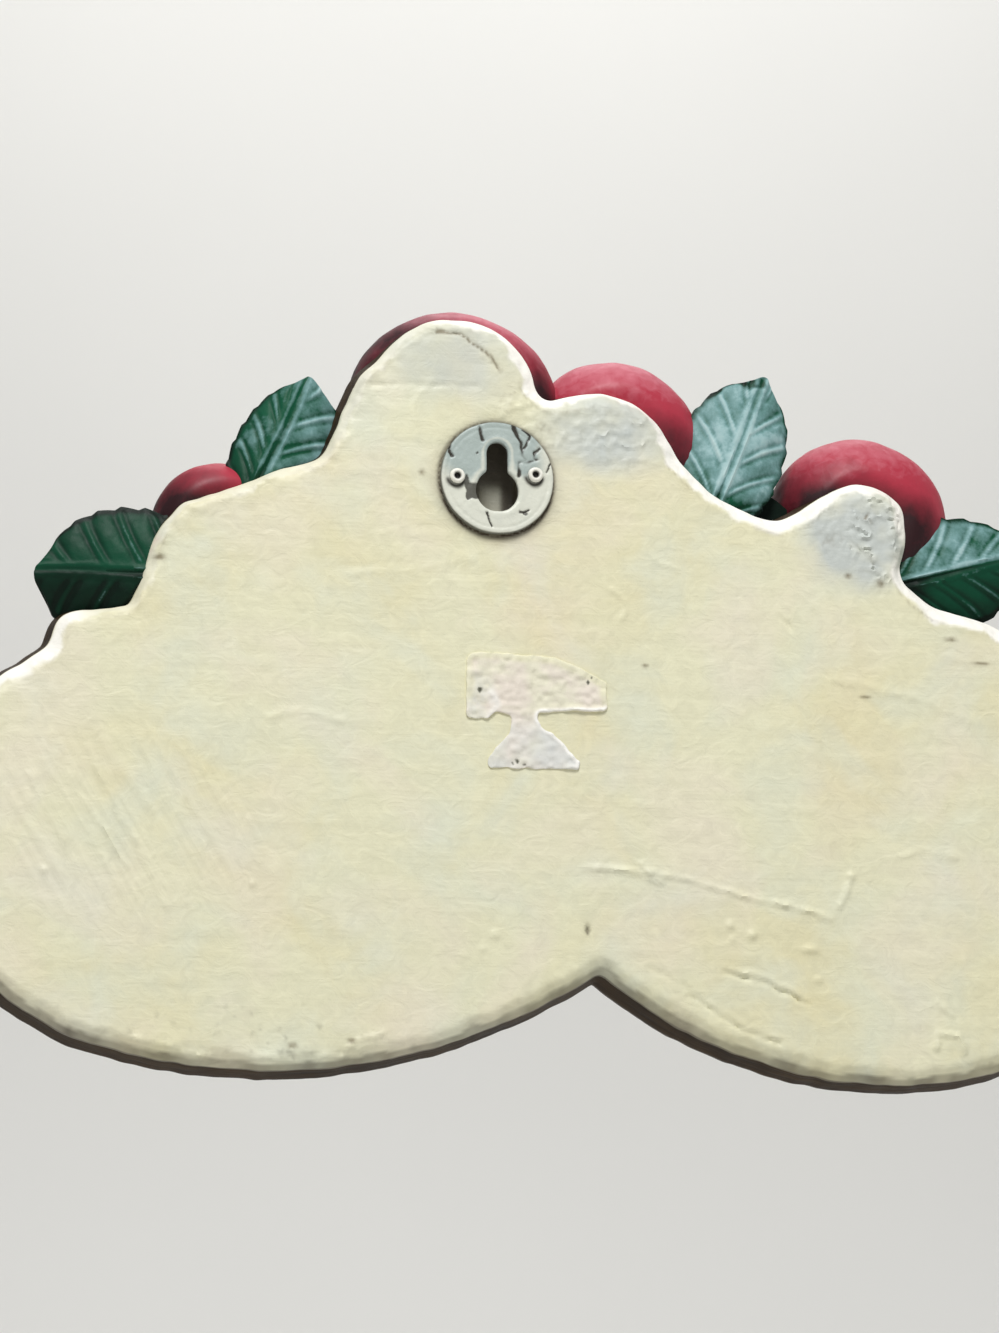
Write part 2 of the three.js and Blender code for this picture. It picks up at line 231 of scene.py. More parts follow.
class Outline:
    """Draws a closed outline from arcs and smooth curves in turn."""

    def __init__(self) -> None:
        """Starts with no points."""
        self.points: list[Array] = []

    def arc(self, x: float, z: float, radius: float, start: float, end: float) -> "Outline":
        """Adds an anticlockwise arc.

        Args:
            x: Its centre.
            z: Its centre.
            radius: Its radius.
            start: The angle it starts at, in radians.
            end: The angle it ends at.

        Returns:
            The outline.
        """
        sweep = (end - start) % (2 * math.pi) or 2 * math.pi
        for share in np.linspace(0, 1, max(12, int(sweep * radius / 0.25))):
            angle = start + sweep * share
            self.points.append(np.array([x + radius * math.cos(angle), z + radius * math.sin(angle)]))
        return self

    def through(self, pairs: Pairs) -> "Outline":
        """Adds a smooth curve from where the outline stands.

        Args:
            pairs: The points that it runs through.

        Returns:
            The outline.
        """
        knots = [self.points[-1], *map(np.array, pairs)]
        for i in range(len(knots) - 1):
            p0, p1, p2 = knots[max(i - 1, 0)], knots[i], knots[i + 1]
            p3 = knots[min(i + 2, len(knots) - 1)]
            for t in np.linspace(0, 1, 24)[1:]:
                v0, v1 = (p2 - p0) / 2, (p3 - p1) / 2
                cubic = (2 * p1 - 2 * p2 + v0 + v1) * t**3 + (-3 * p1 + 3 * p2 - 2 * v0 - v1) * t**2
                self.points.append(cubic + v0 * t + p1)
        return self

    def straight(self, pairs: Pairs) -> "Outline":
        """Adds straight stretches to the given points."""
        self.points.extend(np.array(pair, float) for pair in pairs)
        return self

    def loop(self, step: float, rounding: float, wobble: float = 0.0) -> Loop:
        """Closes the outline.

        Args:
            step: Distance between its points.
            rounding: How far sharp corners are eased.
            wobble: How far a hand-finished edge strays from the drawn one.

        Returns:
            The finished loop.
        """
        ring = np.array([*self.points, self.points[0]])
        run = np.concatenate([[0], np.cumsum(np.linalg.norm(np.diff(ring, axis=0), axis=1))])
        count = round(run[-1] / step)
        at = np.arange(count) * run[-1] / count
        points = np.stack([np.interp(at, run, ring[:, i]) for i in (0, 1)], axis=1)
        for _ in range(round(2 * (rounding / step) ** 2)):
            points = (2 * points + np.roll(points, 1, axis=0) + np.roll(points, -1, axis=0)) / 4
        along = np.roll(points, -2, axis=0) - np.roll(points, 2, axis=0)
        along /= np.linalg.norm(along, axis=1, keepdims=True)
        normals = np.stack([along[:, 1], -along[:, 0]], axis=1)
        if wobble:
            astray = wobble * (rough(points, 9, 5) + 0.5 * noise(points, 3.1, 6))
            points = points + normals * astray[:, None]
        return Loop(points, normals, step)


def depth_in(points: Array, loops: Sequence[Loop]) -> Array:
    """Measures how far points lie from the nearest of some loops.

    Args:
        points: One row for each place, as x and z.
        loops: The loops.

    Returns:
        The distance of each point.
    """
    nearest = np.full(len(points), 1e9)
    for loop in loops:
        index = loop.nearest(points)
        for step in (-1, 1):
            a = loop.points[index]
            along = loop.points[(index + step) % len(loop.points)] - a
            share = np.clip(((points - a) * along).sum(1) / (along * along).sum(1), 0, 1)
            nearest = np.minimum(nearest, np.linalg.norm(points - a - share[:, None] * along, axis=1))
    return nearest


def within(points: Array, loops: Sequence[Loop]) -> Array:
    """Tells which points lie inside the first loop and outside the others.

    Args:
        points: One row for each place, as x and z.
        loops: The outline, then the outlines of its holes.

    Returns:
        True or false for each point.
    """
    inside = np.zeros(len(points), bool)
    for loop in loops:
        a, b = loop.points, np.roll(loop.points, -1, axis=0)
        for start in range(0, len(points), 4000):
            x, z = points[start : start + 4000, 0:1], points[start : start + 4000, 1:2]
            spans = (a[:, 1] > z) != (b[:, 1] > z)
            cross = a[:, 0] + (z - a[:, 1]) * (b[:, 0] - a[:, 0]) / (b[:, 1] - a[:, 1] + 1e-12)
            inside[start : start + 4000] ^= ((spans & (x < cross)).sum(axis=1) % 2).astype(bool)
    return inside


@dataclass
class Skin:
    """Points in millimetres and the triangles between them, with named values at the points."""

    points: Array = field(default_factory=lambda: np.zeros((0, 3)))
    triangles: list[Array] = field(default_factory=list)
    marks: dict[str, Array] = field(default_factory=dict)

    def place(self, points: Array) -> Array:
        """Adds points.

        Args:
            points: One row for each, in three dimensions.

        Returns:
            Their numbers.
        """
        first = len(self.points)
        self.points = np.concatenate([self.points, points])
        return np.arange(first, len(self.points))

    def ring(self, flat: Array, y: float | Array) -> Array:
        """Adds a ring of points that stand at x and z, at one height y or one for each."""
        height = np.broadcast_to(y, len(flat))
        return self.place(np.stack([flat[:, 0], height, flat[:, 1]], axis=1))

    def band(self, lower: Array, upper: Array) -> None:
        """Joins two closed rings of the same count."""
        a, b, c, d = lower, np.roll(lower, -1), np.roll(upper, -1), upper
        self.triangles += [np.stack([a, b, c], axis=1), np.stack([a, c, d], axis=1)]

    def wall(self, last: Array, flat: Array, y: float | Array) -> Array:
        """Adds a ring and joins it to the last one.

        Args:
            last: Numbers of the last ring's points.
            flat: The new ring's points, as x and z.
            y: Its height, one for all or one for each.

        Returns:
            Numbers of the new ring's points.
        """
        ring = self.ring(flat, y)
        self.band(ring, last)
        return ring

    def cover(self, flat: Array, y: float | Array, triangles: Array) -> Array:
        """Adds a whole area.

        Args:
            flat: Its points, as x and z.
            y: Its height, one for all or one for each.
            triangles: The triangles between them.

        Returns:
            Numbers of the new points.
        """
        numbers = self.ring(flat, y)
        self.triangles.append(numbers[triangles])
        return numbers

    def fan(self, ring: Array) -> None:
        """Closes a ring with triangles to its middle.

        Args:
            ring: Numbers of its points.
        """
        centre = np.repeat(self.place(self.points[ring].mean(axis=0, keepdims=True)), len(ring))
        self.triangles.append(np.stack([ring, np.roll(ring, -1), centre], axis=1))

    def lid(self, ring: Array) -> None:
        """Closes a flat ring of any outline in the XZ plane.

        Args:
            ring: Numbers of its points.
        """
        flat = self.points[ring][:, [0, 2]]
        _, triangles, rims = filled([Loop(flat, flat, 1.0)], 0)
        numbers = np.empty(len(ring), int)
        numbers[rims[0]] = ring
        self.triangles.append(numbers[triangles])

    def mark(self, **values: Array | float) -> None:
        """Sets named values at all the points so far that have none yet.

        Args:
            **values: The value of each name. Names used before and left out are 0 here.
        """
        for name in {**self.marks, **values}:
            old = self.marks.get(name, np.zeros(0))
            fresh = np.broadcast_to(values.get(name, 0.0), len(self.points) - len(old))
            self.marks[name] = np.concatenate([old, fresh])

    def drop_unused(self) -> None:
        """Takes out points that no triangle uses."""
        triangles = np.concatenate(self.triangles)
        used = np.unique(triangles)
        fresh = np.full(len(self.points), -1)
        fresh[used] = np.arange(len(used))
        self.points = self.points[used]
        self.triangles = [fresh[triangles]]
        self.marks = {name: values[used] for name, values in self.marks.items()}


Filled = tuple[Array, Array, list[Array]]


def filled(loops: Sequence[Loop], spacing: float, rings: Pairs = (), seed: int = 0) -> Filled:
    """Covers the area inside the first loop and outside the others with triangles.

    Args:
        loops: The outline, then the outlines of its holes.
        spacing: Distance between the points inside, or 0 for none.
        rings: Distance from the edge and spacing of each extra row of points along the edges.
        seed: Picks how the inner points stray from their even grid.

    Returns:
        The points as x and z, the triangles, and the numbers of each loop's points.
    """
    chosen = [loop.points for loop in loops]
    reach = 0.0
    for depth, gap in rings:
        for i, loop in enumerate(loops):
            every = max(1, round(gap / loop.step))
            row = loop.grown(depth if i else -depth)[::every]
            row = row[within(row, loops)]
            chosen.append(row[depth_in(row, loops) > 0.9 * depth])
        reach = depth
    if spacing:
        low, high = loops[0].points.min(axis=0), loops[0].points.max(axis=0)
        row = np.arange(low[0], high[0], spacing)
        grid = []
        for i, z in enumerate(np.arange(low[1], high[1], spacing * math.sqrt(0.75))):
            grid.append(np.stack([row + spacing / 2 * (i % 2), np.full_like(row, z)], axis=1))
        inner = np.concatenate(grid)
        inner += np.random.default_rng(seed).uniform(-0.12, 0.12, inner.shape) * spacing
        inner = inner[within(inner, loops)]
        chosen.append(inner[depth_in(inner, loops) > reach + 0.6 * spacing])
    counts = [len(loop.points) for loop in loops]
    starts = np.concatenate([[0], np.cumsum(counts)])
    spans = list(zip(starts, counts))
    edges = [(start + i, start + (i + 1) % count) for start, count in spans for i in range(count)]
    made = delaunay_2d_cdt([Vector(p) for p in np.concatenate(chosen)], edges, [], 0, 1e-6)
    points = np.array([tuple(p) for p in made[0]])
    triangles = np.array(made[2])
    where = {old: new for new, olds in enumerate(made[3]) for old in olds}
    rims = [np.array([where[start + i] for i in range(count)]) for start, count in spans]
    on_rim = np.zeros(len(points), bool)
    on_rim[np.concatenate(rims)] = True
    unsure = on_rim[triangles].all(axis=1)
    keep = ~unsure
    keep[unsure] = within(points[triangles[unsure]].mean(axis=1), loops)
    return points, triangles[keep], rims


def rounded(depth: Array, width: float, drop: float) -> Array:
    """How far an edge that is rounded over has dropped at each distance in from it."""
    share = np.clip(1 - depth / width, 0, 1)
    return drop * (1 - np.sqrt(1 - share**2))


def lofted(rings: Sequence[Array], marks: dict[str, Array] | None = None) -> Skin:
    """Closed skin over rings of equal count, with a fan at both ends.

    Args:
        rings: Each ring's points, in order.
        marks: Named values, one row for each ring.

    Returns:
        The skin, whose two middle points take the mean values of their rings.
    """
    skin = Skin()
    numbers = [skin.place(np.asarray(ring)) for ring in rings]
    for lower, upper in zip(numbers, numbers[1:]):
        skin.band(lower, upper)
    skin.fan(numbers[0])
    skin.fan(numbers[-1])
    for name, values in (marks or {}).items():
        ends = [values[0].mean(), values[-1].mean()]
        skin.marks[name] = np.concatenate([values.ravel(), ends])
    return skin


# ---------- materials ----------

COLOUR = {"data_type": "RGBA"}


def add(
    tree: Tree,
    kind: str,
    settings: dict[Any, Any] | None = None,
    links: dict[Any, Socket] | None = None,
    out: int | str = 0,
) -> Socket:
    """Adds a shader node with its settings and links.

    Args:
        tree: The material's node tree.
        kind: The node's type without its ShaderNode prefix.
        settings: Values of its properties, by name, and of its inputs, by name or number.
        links: Sockets that feed its inputs, by name or number.
        out: Which of its outputs is wanted.

    Returns:
        The wanted output.
    """
    made = tree.nodes.new("ShaderNode" + kind)
    for name, value in (settings or {}).items():
        if isinstance(name, str) and hasattr(made, name):
            setattr(made, name, value)
        else:
            made.inputs[name].default_value = value
    for name, source in (links or {}).items():
        tree.links.new(source, made.inputs[name])
    return made.outputs[out] if len(made.outputs) else None


@dataclass(frozen=True)
class Finish:
    """A surface finish, which becomes one material."""

    title: ClassVar[str] = "finish"
    slot: ClassVar[Slot] = Slot.CREAM

    def material(self) -> bpy.types.Material:
        """Builds the material and links its shader to the output.

        Returns:
            The material.
        """
        made = bpy.data.materials.new(self.title)
        made.use_nodes = True
        made.node_tree.nodes.clear()
        shader = self.shader(made.node_tree)
        add(made.node_tree, "OutputMaterial", links={"Surface": shader})
        return made

    def shader(self, tree: Tree) -> Socket:
        """Builds the nodes and gives the shader, in each finish."""
        raise NotImplementedError

    def mark(self, tree: Tree, name: str) -> Socket:
        """A named value that the mesh carries at its points."""
        return add(tree, "Attribute", {"attribute_name": name}, out="Fac")

    def overlaid(self, tree: Tree, base: Socket, names: Sequence[str]) -> Socket:
        """Lays colours of the finish over one another, each where the mesh has the mark of its name.

        Args:
            tree: The material's node tree.
            base: The colour underneath.
            names: The colours' names, from the lowest up.

        Returns:
            The blended colour.
        """
        for name in names:
            much = self.mark(tree, name)
            base = add(tree, "Mix", {**COLOUR, 7: srgb(getattr(self, name))}, {0: much, 6: base}, 2)
        return base


@dataclass(frozen=True)
class BrushedCream(Finish):
    """Acrylic house paint brushed over cast stone plaster.

    A warm cream with the paler and darker tracks of the bristles, greyed where the coat is thin. Its white on
    the upward-facing bevel is partly a painted highlight, and its umber on the downward-facing bevel, in the
    screw pocket and round the hanger plate is partly painted shade.
    """

    title: ClassVar[str] = "brushed_cream_acrylic"
    slot: ClassVar[Slot] = Slot.CREAM
    cream: str = "#E2DFC0"
    straw: str = "#DFD6AC"
    chalk: str = "#DCDEC9"
    blush: str = "#E8DCCD"
    # white paint, laid only on the bevel where it faces up, so partly a painted highlight
    white: str = "#FBF8EF"
    grey: str = "#C3C8C3"
    # umber of chips and drips, also laid as painted shade under edges, in the screw pocket and round the
    # plate
    umber: str = "#3A2C1C"
    bare: str = "#E0C4BA"
    fleck: str = "#6F6046"
    # millimetres along x, y and z of one cell of each pattern; y, into the coat, doesn't show
    tracks: tuple[float, float, float] = (30.0, 30.0, 1.3)  # what the bristles leave
    steep: tuple[float, float, float] = (34.0, 30.0, 0.9)
    lean: float = 59.0  # angle in degrees of the steep tracks
    daub: tuple[float, float, float] = (5.0, 6.0, 3.6)  # the short daubs between them
    grain: float = 0.8

    def tint(self, tree: Tree, base: Socket, size: float, shade: str, much: float) -> Socket:
        """Blends a second tint into the paint in soft clouds.

        Args:
            tree: The material's node tree.
            base: The colour so far.
            size: How large the clouds are, in millimetres.
            shade: The tint.
            much: How strong it is in the middle of a cloud.

        Returns:
            The blended colour.
        """
        place = add(tree, "TexCoord", out="Object")
        soft = {"Scale": pitch(size), "Detail": 4.0, "Distortion": 0.4}
        cloud = add(tree, "TexNoise", soft, {"Vector": place})
        share = add(tree, "MapRange", {"From Min": 0.45, "From Max": 0.72, "To Max": much}, {"Value": cloud})
        return add(tree, "Mix", {**COLOUR, 7: srgb(shade)}, {0: share, 6: base}, 2)

    def shader(self, tree: Tree) -> Socket:
        """Builds the nodes.

        Args:
            tree: The material's node tree.

        Returns:
            The shader.
        """
        place = add(tree, "TexCoord", out="Object")
        base = add(tree, "RGB")
        base.default_value = srgb(self.cream)
        base = self.tint(tree, base, 41, self.straw, 0.9)
        base = self.tint(tree, base, 19, self.chalk, 0.85)
        base = self.tint(tree, base, 28, self.blush, 0.45)
        level = {"Scale": tuple(map(pitch, self.tracks))}
        level = add(tree, "Mapping", level, {"Vector": place})
        brush = {"Scale": 1.0, "Detail": 5.0, "Roughness": 0.62, "Distortion": 1.1}
        tracks = add(tree, "TexNoise", brush, {"Vector": level})
        tilted = add(tree, "Mapping", {"Rotation": (0, math.radians(self.lean), 0)}, {"Vector": place})
        drawn = {"Scale": tuple(map(pitch, self.steep))}
        tilted = add(tree, "Mapping", drawn, {"Vector": tilted})
        steep = add(tree, "TexNoise", {"Scale": 1.0, "Detail": 3.0, "Roughness": 0.6}, {"Vector": tilted})
        track = add(tree, "Mix", {}, {0: self.mark(tree, "steep"), 2: tracks, 3: steep}, 0)
        short = {"Scale": tuple(map(pitch, self.daub))}
        short = add(tree, "Mapping", short, {"Vector": place})
        daub = {"Scale": 1.0, "Detail": 4.0, "Roughness": 0.55, "Distortion": 1.6}
        daub = add(tree, "TexNoise", daub, {"Vector": short})
        half = add(tree, "Math", {"operation": "MULTIPLY", 1: 0.4}, {0: track})
        both = add(tree, "Math", {"operation": "MULTIPLY_ADD", 1: 1.1}, {0: daub, 2: half})
        tone = {"From Min": 0.5, "From Max": 0.95, "To Min": 0.94, "To Max": 1.035}
        tone = add(tree, "MapRange", tone, {"Value": both})
        base = add(tree, "Mix", {**COLOUR, "blend_type": "MULTIPLY", 0: 1.0}, {6: base, 7: tone}, 2)
        # white here is partly painted highlight, and umber partly painted shade
        base = self.overlaid(tree, base, ("grey", "white", "bare", "umber", "fleck"))
        grain = add(tree, "TexNoise", {"Scale": pitch(self.grain), "Detail": 3.0}, {"Vector": place})
        rise = add(tree, "Math", {"operation": "MULTIPLY_ADD", 1: 0.3}, {0: grain, 2: both})
        normal = add(tree, "Bump", {"Strength": 1.0, "Distance": 0.16 * MM}, {"Height": rise})
        gloss = add(tree, "MapRange", {"To Min": 0.38, "To Max": 0.62}, {"Value": track})
        settings = {"IOR": 1.49, "Specular IOR Level": 0.35}
        links = {"Base Color": base, "Roughness": gloss, "Normal": normal}
        return add(tree, "BsdfPrincipled", settings, links)


@dataclass(frozen=True)
class UmberWash(Finish):
    """Thin umber acrylic brushed over the sealed casting.

    Dark brown, streaked along the wall, with the buff ground rubbing through on the high places.
    """

    title: ClassVar[str] = "umber_wash_acrylic"
    slot: ClassVar[Slot] = Slot.UMBER
    umber: str = "#342413"
    dark: str = "#1A1008"
    buff: str = "#A8966F"
    streak: tuple[float, float, float] = (18.0, 1.4, 9.0)  # millimetres along x, y and z

    def shader(self, tree: Tree) -> Socket:
        """Builds the nodes.

        Args:
            tree: The material's node tree.

        Returns:
            The shader.
        """
        place = add(tree, "TexCoord", out="Object")
        level = {"Scale": tuple(map(pitch, self.streak))}
        level = add(tree, "Mapping", level, {"Vector": place})
        tracks = add(tree, "TexNoise", {"Scale": 1.0, "Detail": 5.0, "Roughness": 0.6}, {"Vector": level})
        cloud = add(tree, "TexNoise", {"Scale": pitch(14), "Detail": 4.0}, {"Vector": place})
        both = add(tree, "Math", {"operation": "MULTIPLY_ADD", 1: 0.6}, {0: cloud, 2: tracks})
        shade = add(tree, "MapRange", {"From Min": 0.5, "From Max": 1.05}, {"Value": both})
        base = add(tree, "Mix", {**COLOUR, 6: srgb(self.dark), 7: srgb(self.umber)}, {0: shade}, 2)
        much = add(tree, "Math", {"operation": "MULTIPLY"}, {0: self.mark(tree, "buff"), 1: shade})
        base = add(tree, "Mix", {**COLOUR, 7: srgb(self.buff)}, {0: much, 6: base}, 2)
        normal = add(tree, "Bump", {"Strength": 0.8, "Distance": 0.18 * MM}, {"Height": both})
        gloss = add(tree, "MapRange", {"To Min": 0.42, "To Max": 0.62}, {"Value": tracks})
        settings = {"IOR": 1.49, "Specular IOR Level": 0.12}
        links = {"Base Color": base, "Roughness": gloss, "Normal": normal}
        return add(tree, "BsdfPrincipled", settings, links)


@dataclass(frozen=True)
class AntiquedRed(Finish):
    """Crimson enamel, dry-brushed with pink and rubbed with dark brown glaze, then varnished.

    Rose dry-brushed on the tops as a painted highlight, falling to brown-black low on the fruit and where it
    meets the board, partly glaze and partly painted shade.
    """

    title: ClassVar[str] = "antiqued_red_enamel"
    slot: ClassVar[Slot] = Slot.RED
    crimson: str = "#AC3042"
    # rose dry-brushing, laid on the tops of the fruit as a painted highlight
    rose: str = "#E092A0"
    # brown-black glaze, also laid as painted shade low on the fruit and where it meets the board
    glaze_and_shade: str = "#2A0A10"
    mottle: float = 7.0  # clouds of the glaze
    dab: float = 2.2  # touches of the dry brush

    def shader(self, tree: Tree) -> Socket:
        """Builds the nodes.

        Args:
            tree: The material's node tree.

        Returns:
            The shader.
        """
        place = add(tree, "TexCoord", out="Object")
        clouds = {"Scale": pitch(self.mottle), "Detail": 5.0, "Roughness": 0.6}
        mottle = add(tree, "TexNoise", clouds, {"Vector": place})
        spots = {"Scale": pitch(self.dab), "Detail": 4.0, "Distortion": 0.6}
        dabs = add(tree, "TexNoise", spots, {"Vector": place})
        # light: rose laid on the tops of the fruit as a painted highlight
        light = self.mark(tree, "light")
        light = add(tree, "Math", {"operation": "MULTIPLY_ADD", 1: 0.5}, {0: dabs, 2: light})
        light = add(tree, "MapRange", {"From Min": 0.36, "From Max": 1.1, "To Max": 0.95}, {"Value": light})
        base = add(tree, "Mix", {**COLOUR, 6: srgb(self.crimson), 7: srgb(self.rose)}, {0: light}, 2)
        # dark: glaze, and painted shade low on the fruit and where it meets the board
        deep = self.mark(tree, "dark")
        deep = add(tree, "Math", {"operation": "MULTIPLY_ADD", 1: 0.7}, {0: mottle, 2: deep})
        deep = add(tree, "MapRange", {"From Min": 0.5, "From Max": 1.3}, {"Value": deep})
        base = add(tree, "Mix", {**COLOUR, 7: srgb(self.glaze_and_shade)}, {0: deep, 6: base}, 2)
        normal = add(tree, "Bump", {"Strength": 0.6, "Distance": 0.12 * MM}, {"Height": dabs})
        gloss = add(tree, "MapRange", {"To Min": 0.38, "To Max": 0.6}, {"Value": mottle})
        settings = {"IOR": 1.5, "Specular IOR Level": 0.35}
        links = {"Base Color": base, "Roughness": gloss, "Normal": normal}
        return add(tree, "BsdfPrincipled", settings, links)


@dataclass(frozen=True)
class DryBrushedGreen(Finish):
    """Bottle-green enamel with pale teal dragged over its ridges with a nearly dry brush.

    The veins stand out milky, partly a painted highlight, and the folds between them sink to black-green as
    painted shade; the teal is partly a painted sheen on the halves that face up.
    """

    title: ClassVar[str] = "dry_brushed_green_enamel"
    slot: ClassVar[Slot] = Slot.GREEN
    green: str = "#125038"
    teal: str = "#84AAAC"
    # milk: pale paint on the highest ridges, partly a painted highlight
    milk: str = "#BFD4D2"
    deep: str = "#091A12"
    drag: float = 1.6  # broken strokes of the dry brush
    cloud: float = 8.0

    def shader(self, tree: Tree) -> Socket:
        """Builds the nodes.

        Args:
            tree: The material's node tree.

        Returns:
            The shader.
        """
        place = add(tree, "TexCoord", out="Object")
        broken = {"Scale": pitch(self.drag), "Detail": 5.0, "Roughness": 0.65}
        drag = add(tree, "TexNoise", broken, {"Vector": place})
        cloud = add(tree, "TexNoise", {"Scale": pitch(self.cloud), "Detail": 3.0}, {"Vector": place})
        # dark carries painted shade in the folds, at the leaf's foot and on a half that faces down
        low = self.mark(tree, "dark")
        low = add(tree, "Math", {"operation": "MULTIPLY_ADD", 1: 0.5}, {0: cloud, 2: low})
        low = add(tree, "MapRange", {"From Min": 0.35, "From Max": 1.1}, {"Value": low})
        base = add(tree, "Mix", {**COLOUR, 6: srgb(self.green), 7: srgb(self.deep)}, {0: low}, 2)
        # teal is partly a painted sheen on a half that faces up
        high = self.mark(tree, "teal")
        high = add(tree, "Math", {"operation": "MULTIPLY_ADD", 1: 0.7}, {0: drag, 2: high})
        milk = add(tree, "MapRange", {"From Min": 1.1, "From Max": 1.75, "To Max": 0.75}, {"Value": high})
        high = add(tree, "MapRange", {"From Min": 0.62, "From Max": 1.3}, {"Value": high})
        base = add(tree, "Mix", {**COLOUR, 7: srgb(self.teal)}, {0: high, 6: base}, 2)
        base = add(tree, "Mix", {**COLOUR, 7: srgb(self.milk)}, {0: milk, 6: base}, 2)
        normal = add(tree, "Bump", {"Strength": 0.7, "Distance": 0.14 * MM}, {"Height": drag})
        gloss = add(tree, "MapRange", {"To Min": 0.34, "To Max": 0.58}, {"Value": drag})
        settings = {"IOR": 1.5, "Specular IOR Level": 0.12}
        links = {"Base Color": base, "Roughness": gloss, "Normal": normal}
        return add(tree, "BsdfPrincipled", settings, links)


@dataclass(frozen=True)
class StalkBrown(Finish):
    """Brown enamel, matt and streaked along the stalk like bark."""

    title: ClassVar[str] = "brown_enamel"
    slot: ClassVar[Slot] = Slot.STALK
    brown: str = "#4A3622"
    dark: str = "#1C130B"

    def shader(self, tree: Tree) -> Socket:
        """Builds the nodes.

        Args:
            tree: The material's node tree.

        Returns:
            The shader.
        """
        place = add(tree, "TexCoord", out="Object")
        bark = add(tree, "TexNoise", {"Scale": pitch(1.3), "Detail": 4.0}, {"Vector": place})
        much = add(tree, "MapRange", {"From Min": 0.35, "From Max": 0.65}, {"Value": bark})
        base = add(tree, "Mix", {**COLOUR, 6: srgb(self.dark), 7: srgb(self.brown)}, {0: much}, 2)
        normal = add(tree, "Bump", {"Strength": 0.8, "Distance": 0.2 * MM}, {"Height": bark})
        settings = {"IOR": 1.5, "Roughness": 0.6}
        return add(tree, "BsdfPrincipled", settings, {"Base Color": base, "Normal": normal})


@dataclass(frozen=True)
class PaintedSteel(Finish):
    """Zinc-plated pressed steel under a brushed coat of pale paint.

    A cool cream skin, thick at the rims, that has crazed and flaked down to dull dark metal; the same dark
    also stands as painted shadow under the rivets and painted shade along the plate's rim.
    """

    title: ClassVar[str] = "painted_pressed_steel"
    slot: ClassVar[Slot] = Slot.PLATE
    paint: str = "#DADBCD"
    cool: str = "#A9B5B0"
    # metal: the dark of cracks and flakes, also used as painted shadow and shade
    metal: str = "#37342C"

    def shader(self, tree: Tree) -> Socket:
        """Builds the nodes.

        Args:
            tree: The material's node tree.

        Returns:
            The shader.
        """
        place = add(tree, "TexCoord", out="Object")
        soft = {"Scale": pitch(3.6), "Detail": 5.0, "Roughness": 0.6}
        cloud = add(tree, "TexNoise", soft, {"Vector": place})
        cool = self.mark(tree, "cool")
        cool = add(tree, "Math", {"operation": "MULTIPLY_ADD", 1: 0.6}, {0: cloud, 2: cool})
        cool = add(tree, "MapRange", {"From Min": 0.3, "From Max": 1.1}, {"Value": cool})
        base = add(tree, "Mix", {**COLOUR, 6: srgb(self.paint), 7: srgb(self.cool)}, {0: cool}, 2)
        # cracks and flakes, and painted shadow under the rivets and along the rim
        crack_and_shadow = self.mark(tree, "crack_and_shadow")
        base = add(tree, "Mix", {**COLOUR, 7: srgb(self.metal)}, {0: crack_and_shadow, 6: base}, 2)
        grain = add(tree, "TexNoise", {"Scale": pitch(0.9), "Detail": 3.0}, {"Vector": place})
        normal = add(tree, "Bump", {"Strength": 0.8, "Distance": 0.14 * MM}, {"Height": grain})
        gloss = add(tree, "MapRange", {"To Min": 0.3, "To Max": 0.5}, {"Value": grain})
        settings = {"IOR": 1.5, "Specular IOR Level": 0.4}
        links = {"Base Color": base, "Roughness": gloss, "Normal": normal}
        return add(tree, "BsdfPrincipled", settings, links)


@dataclass(frozen=True)
class RivetSteel(PaintedSteel):
    """Hollow steel rivet, its rim painted over and its bore dark."""

    title: ClassVar[str] = "painted_rivet_steel"
    slot: ClassVar[Slot] = Slot.RIVET
    paint: str = "#EDEBE0"
    cool: str = "#CFD2C9"
    metal: str = "#1E1B16"


@dataclass(frozen=True)
class LabelPaper(Finish):
    """Uncoated wood-pulp label paper, torn off in part and painted over.

    Chalky and fibrous, a little greyer than the paint round it, pinker where the coat is thin.
    """

    title: ClassVar[str] = "painted_label_paper"
    slot: ClassVar[Slot] = Slot.LABEL
    white: str = "#E4E0CA"
    pink: str = "#E6DCCF"
    grey: str = "#D9DAD6"
    # white of the torn lips, partly torn fibre and partly a painted highlight where the edges catch the light
    lip: str = "#FAF8F2"
    cream: str = "#E4E0BF"
    fleck: str = "#5B5B4E"

    def shader(self, tree: Tree) -> Socket:
        """Builds the nodes.

        Args:
            tree: The material's node tree.

        Returns:
            The shader.
        """
        place = add(tree, "TexCoord", out="Object")
        cloud = add(tree, "TexNoise", {"Scale": pitch(7), "Detail": 4.0}, {"Vector": place})
        much = add(tree, "MapRange", {"From Min": 0.42, "From Max": 0.62}, {"Value": cloud})
        base = add(tree, "Mix", {**COLOUR, 6: srgb(self.white), 7: srgb(self.pink)}, {0: much}, 2)
        base = self.overlaid(tree, base, ("grey", "cream", "lip", "fleck"))
        felted = {"Scale": pitch(1.1), "Detail": 6.0, "Roughness": 0.7}
        fibre = add(tree, "TexNoise", felted, {"Vector": place})
        normal = add(tree, "Bump", {"Strength": 1.0, "Distance": 0.16 * MM}, {"Height": fibre})
        settings = {"Roughness": 0.75, "IOR": 1.47, "Specular IOR Level": 0.25}
        return add(tree, "BsdfPrincipled", settings, {"Base Color": base, "Normal": normal})


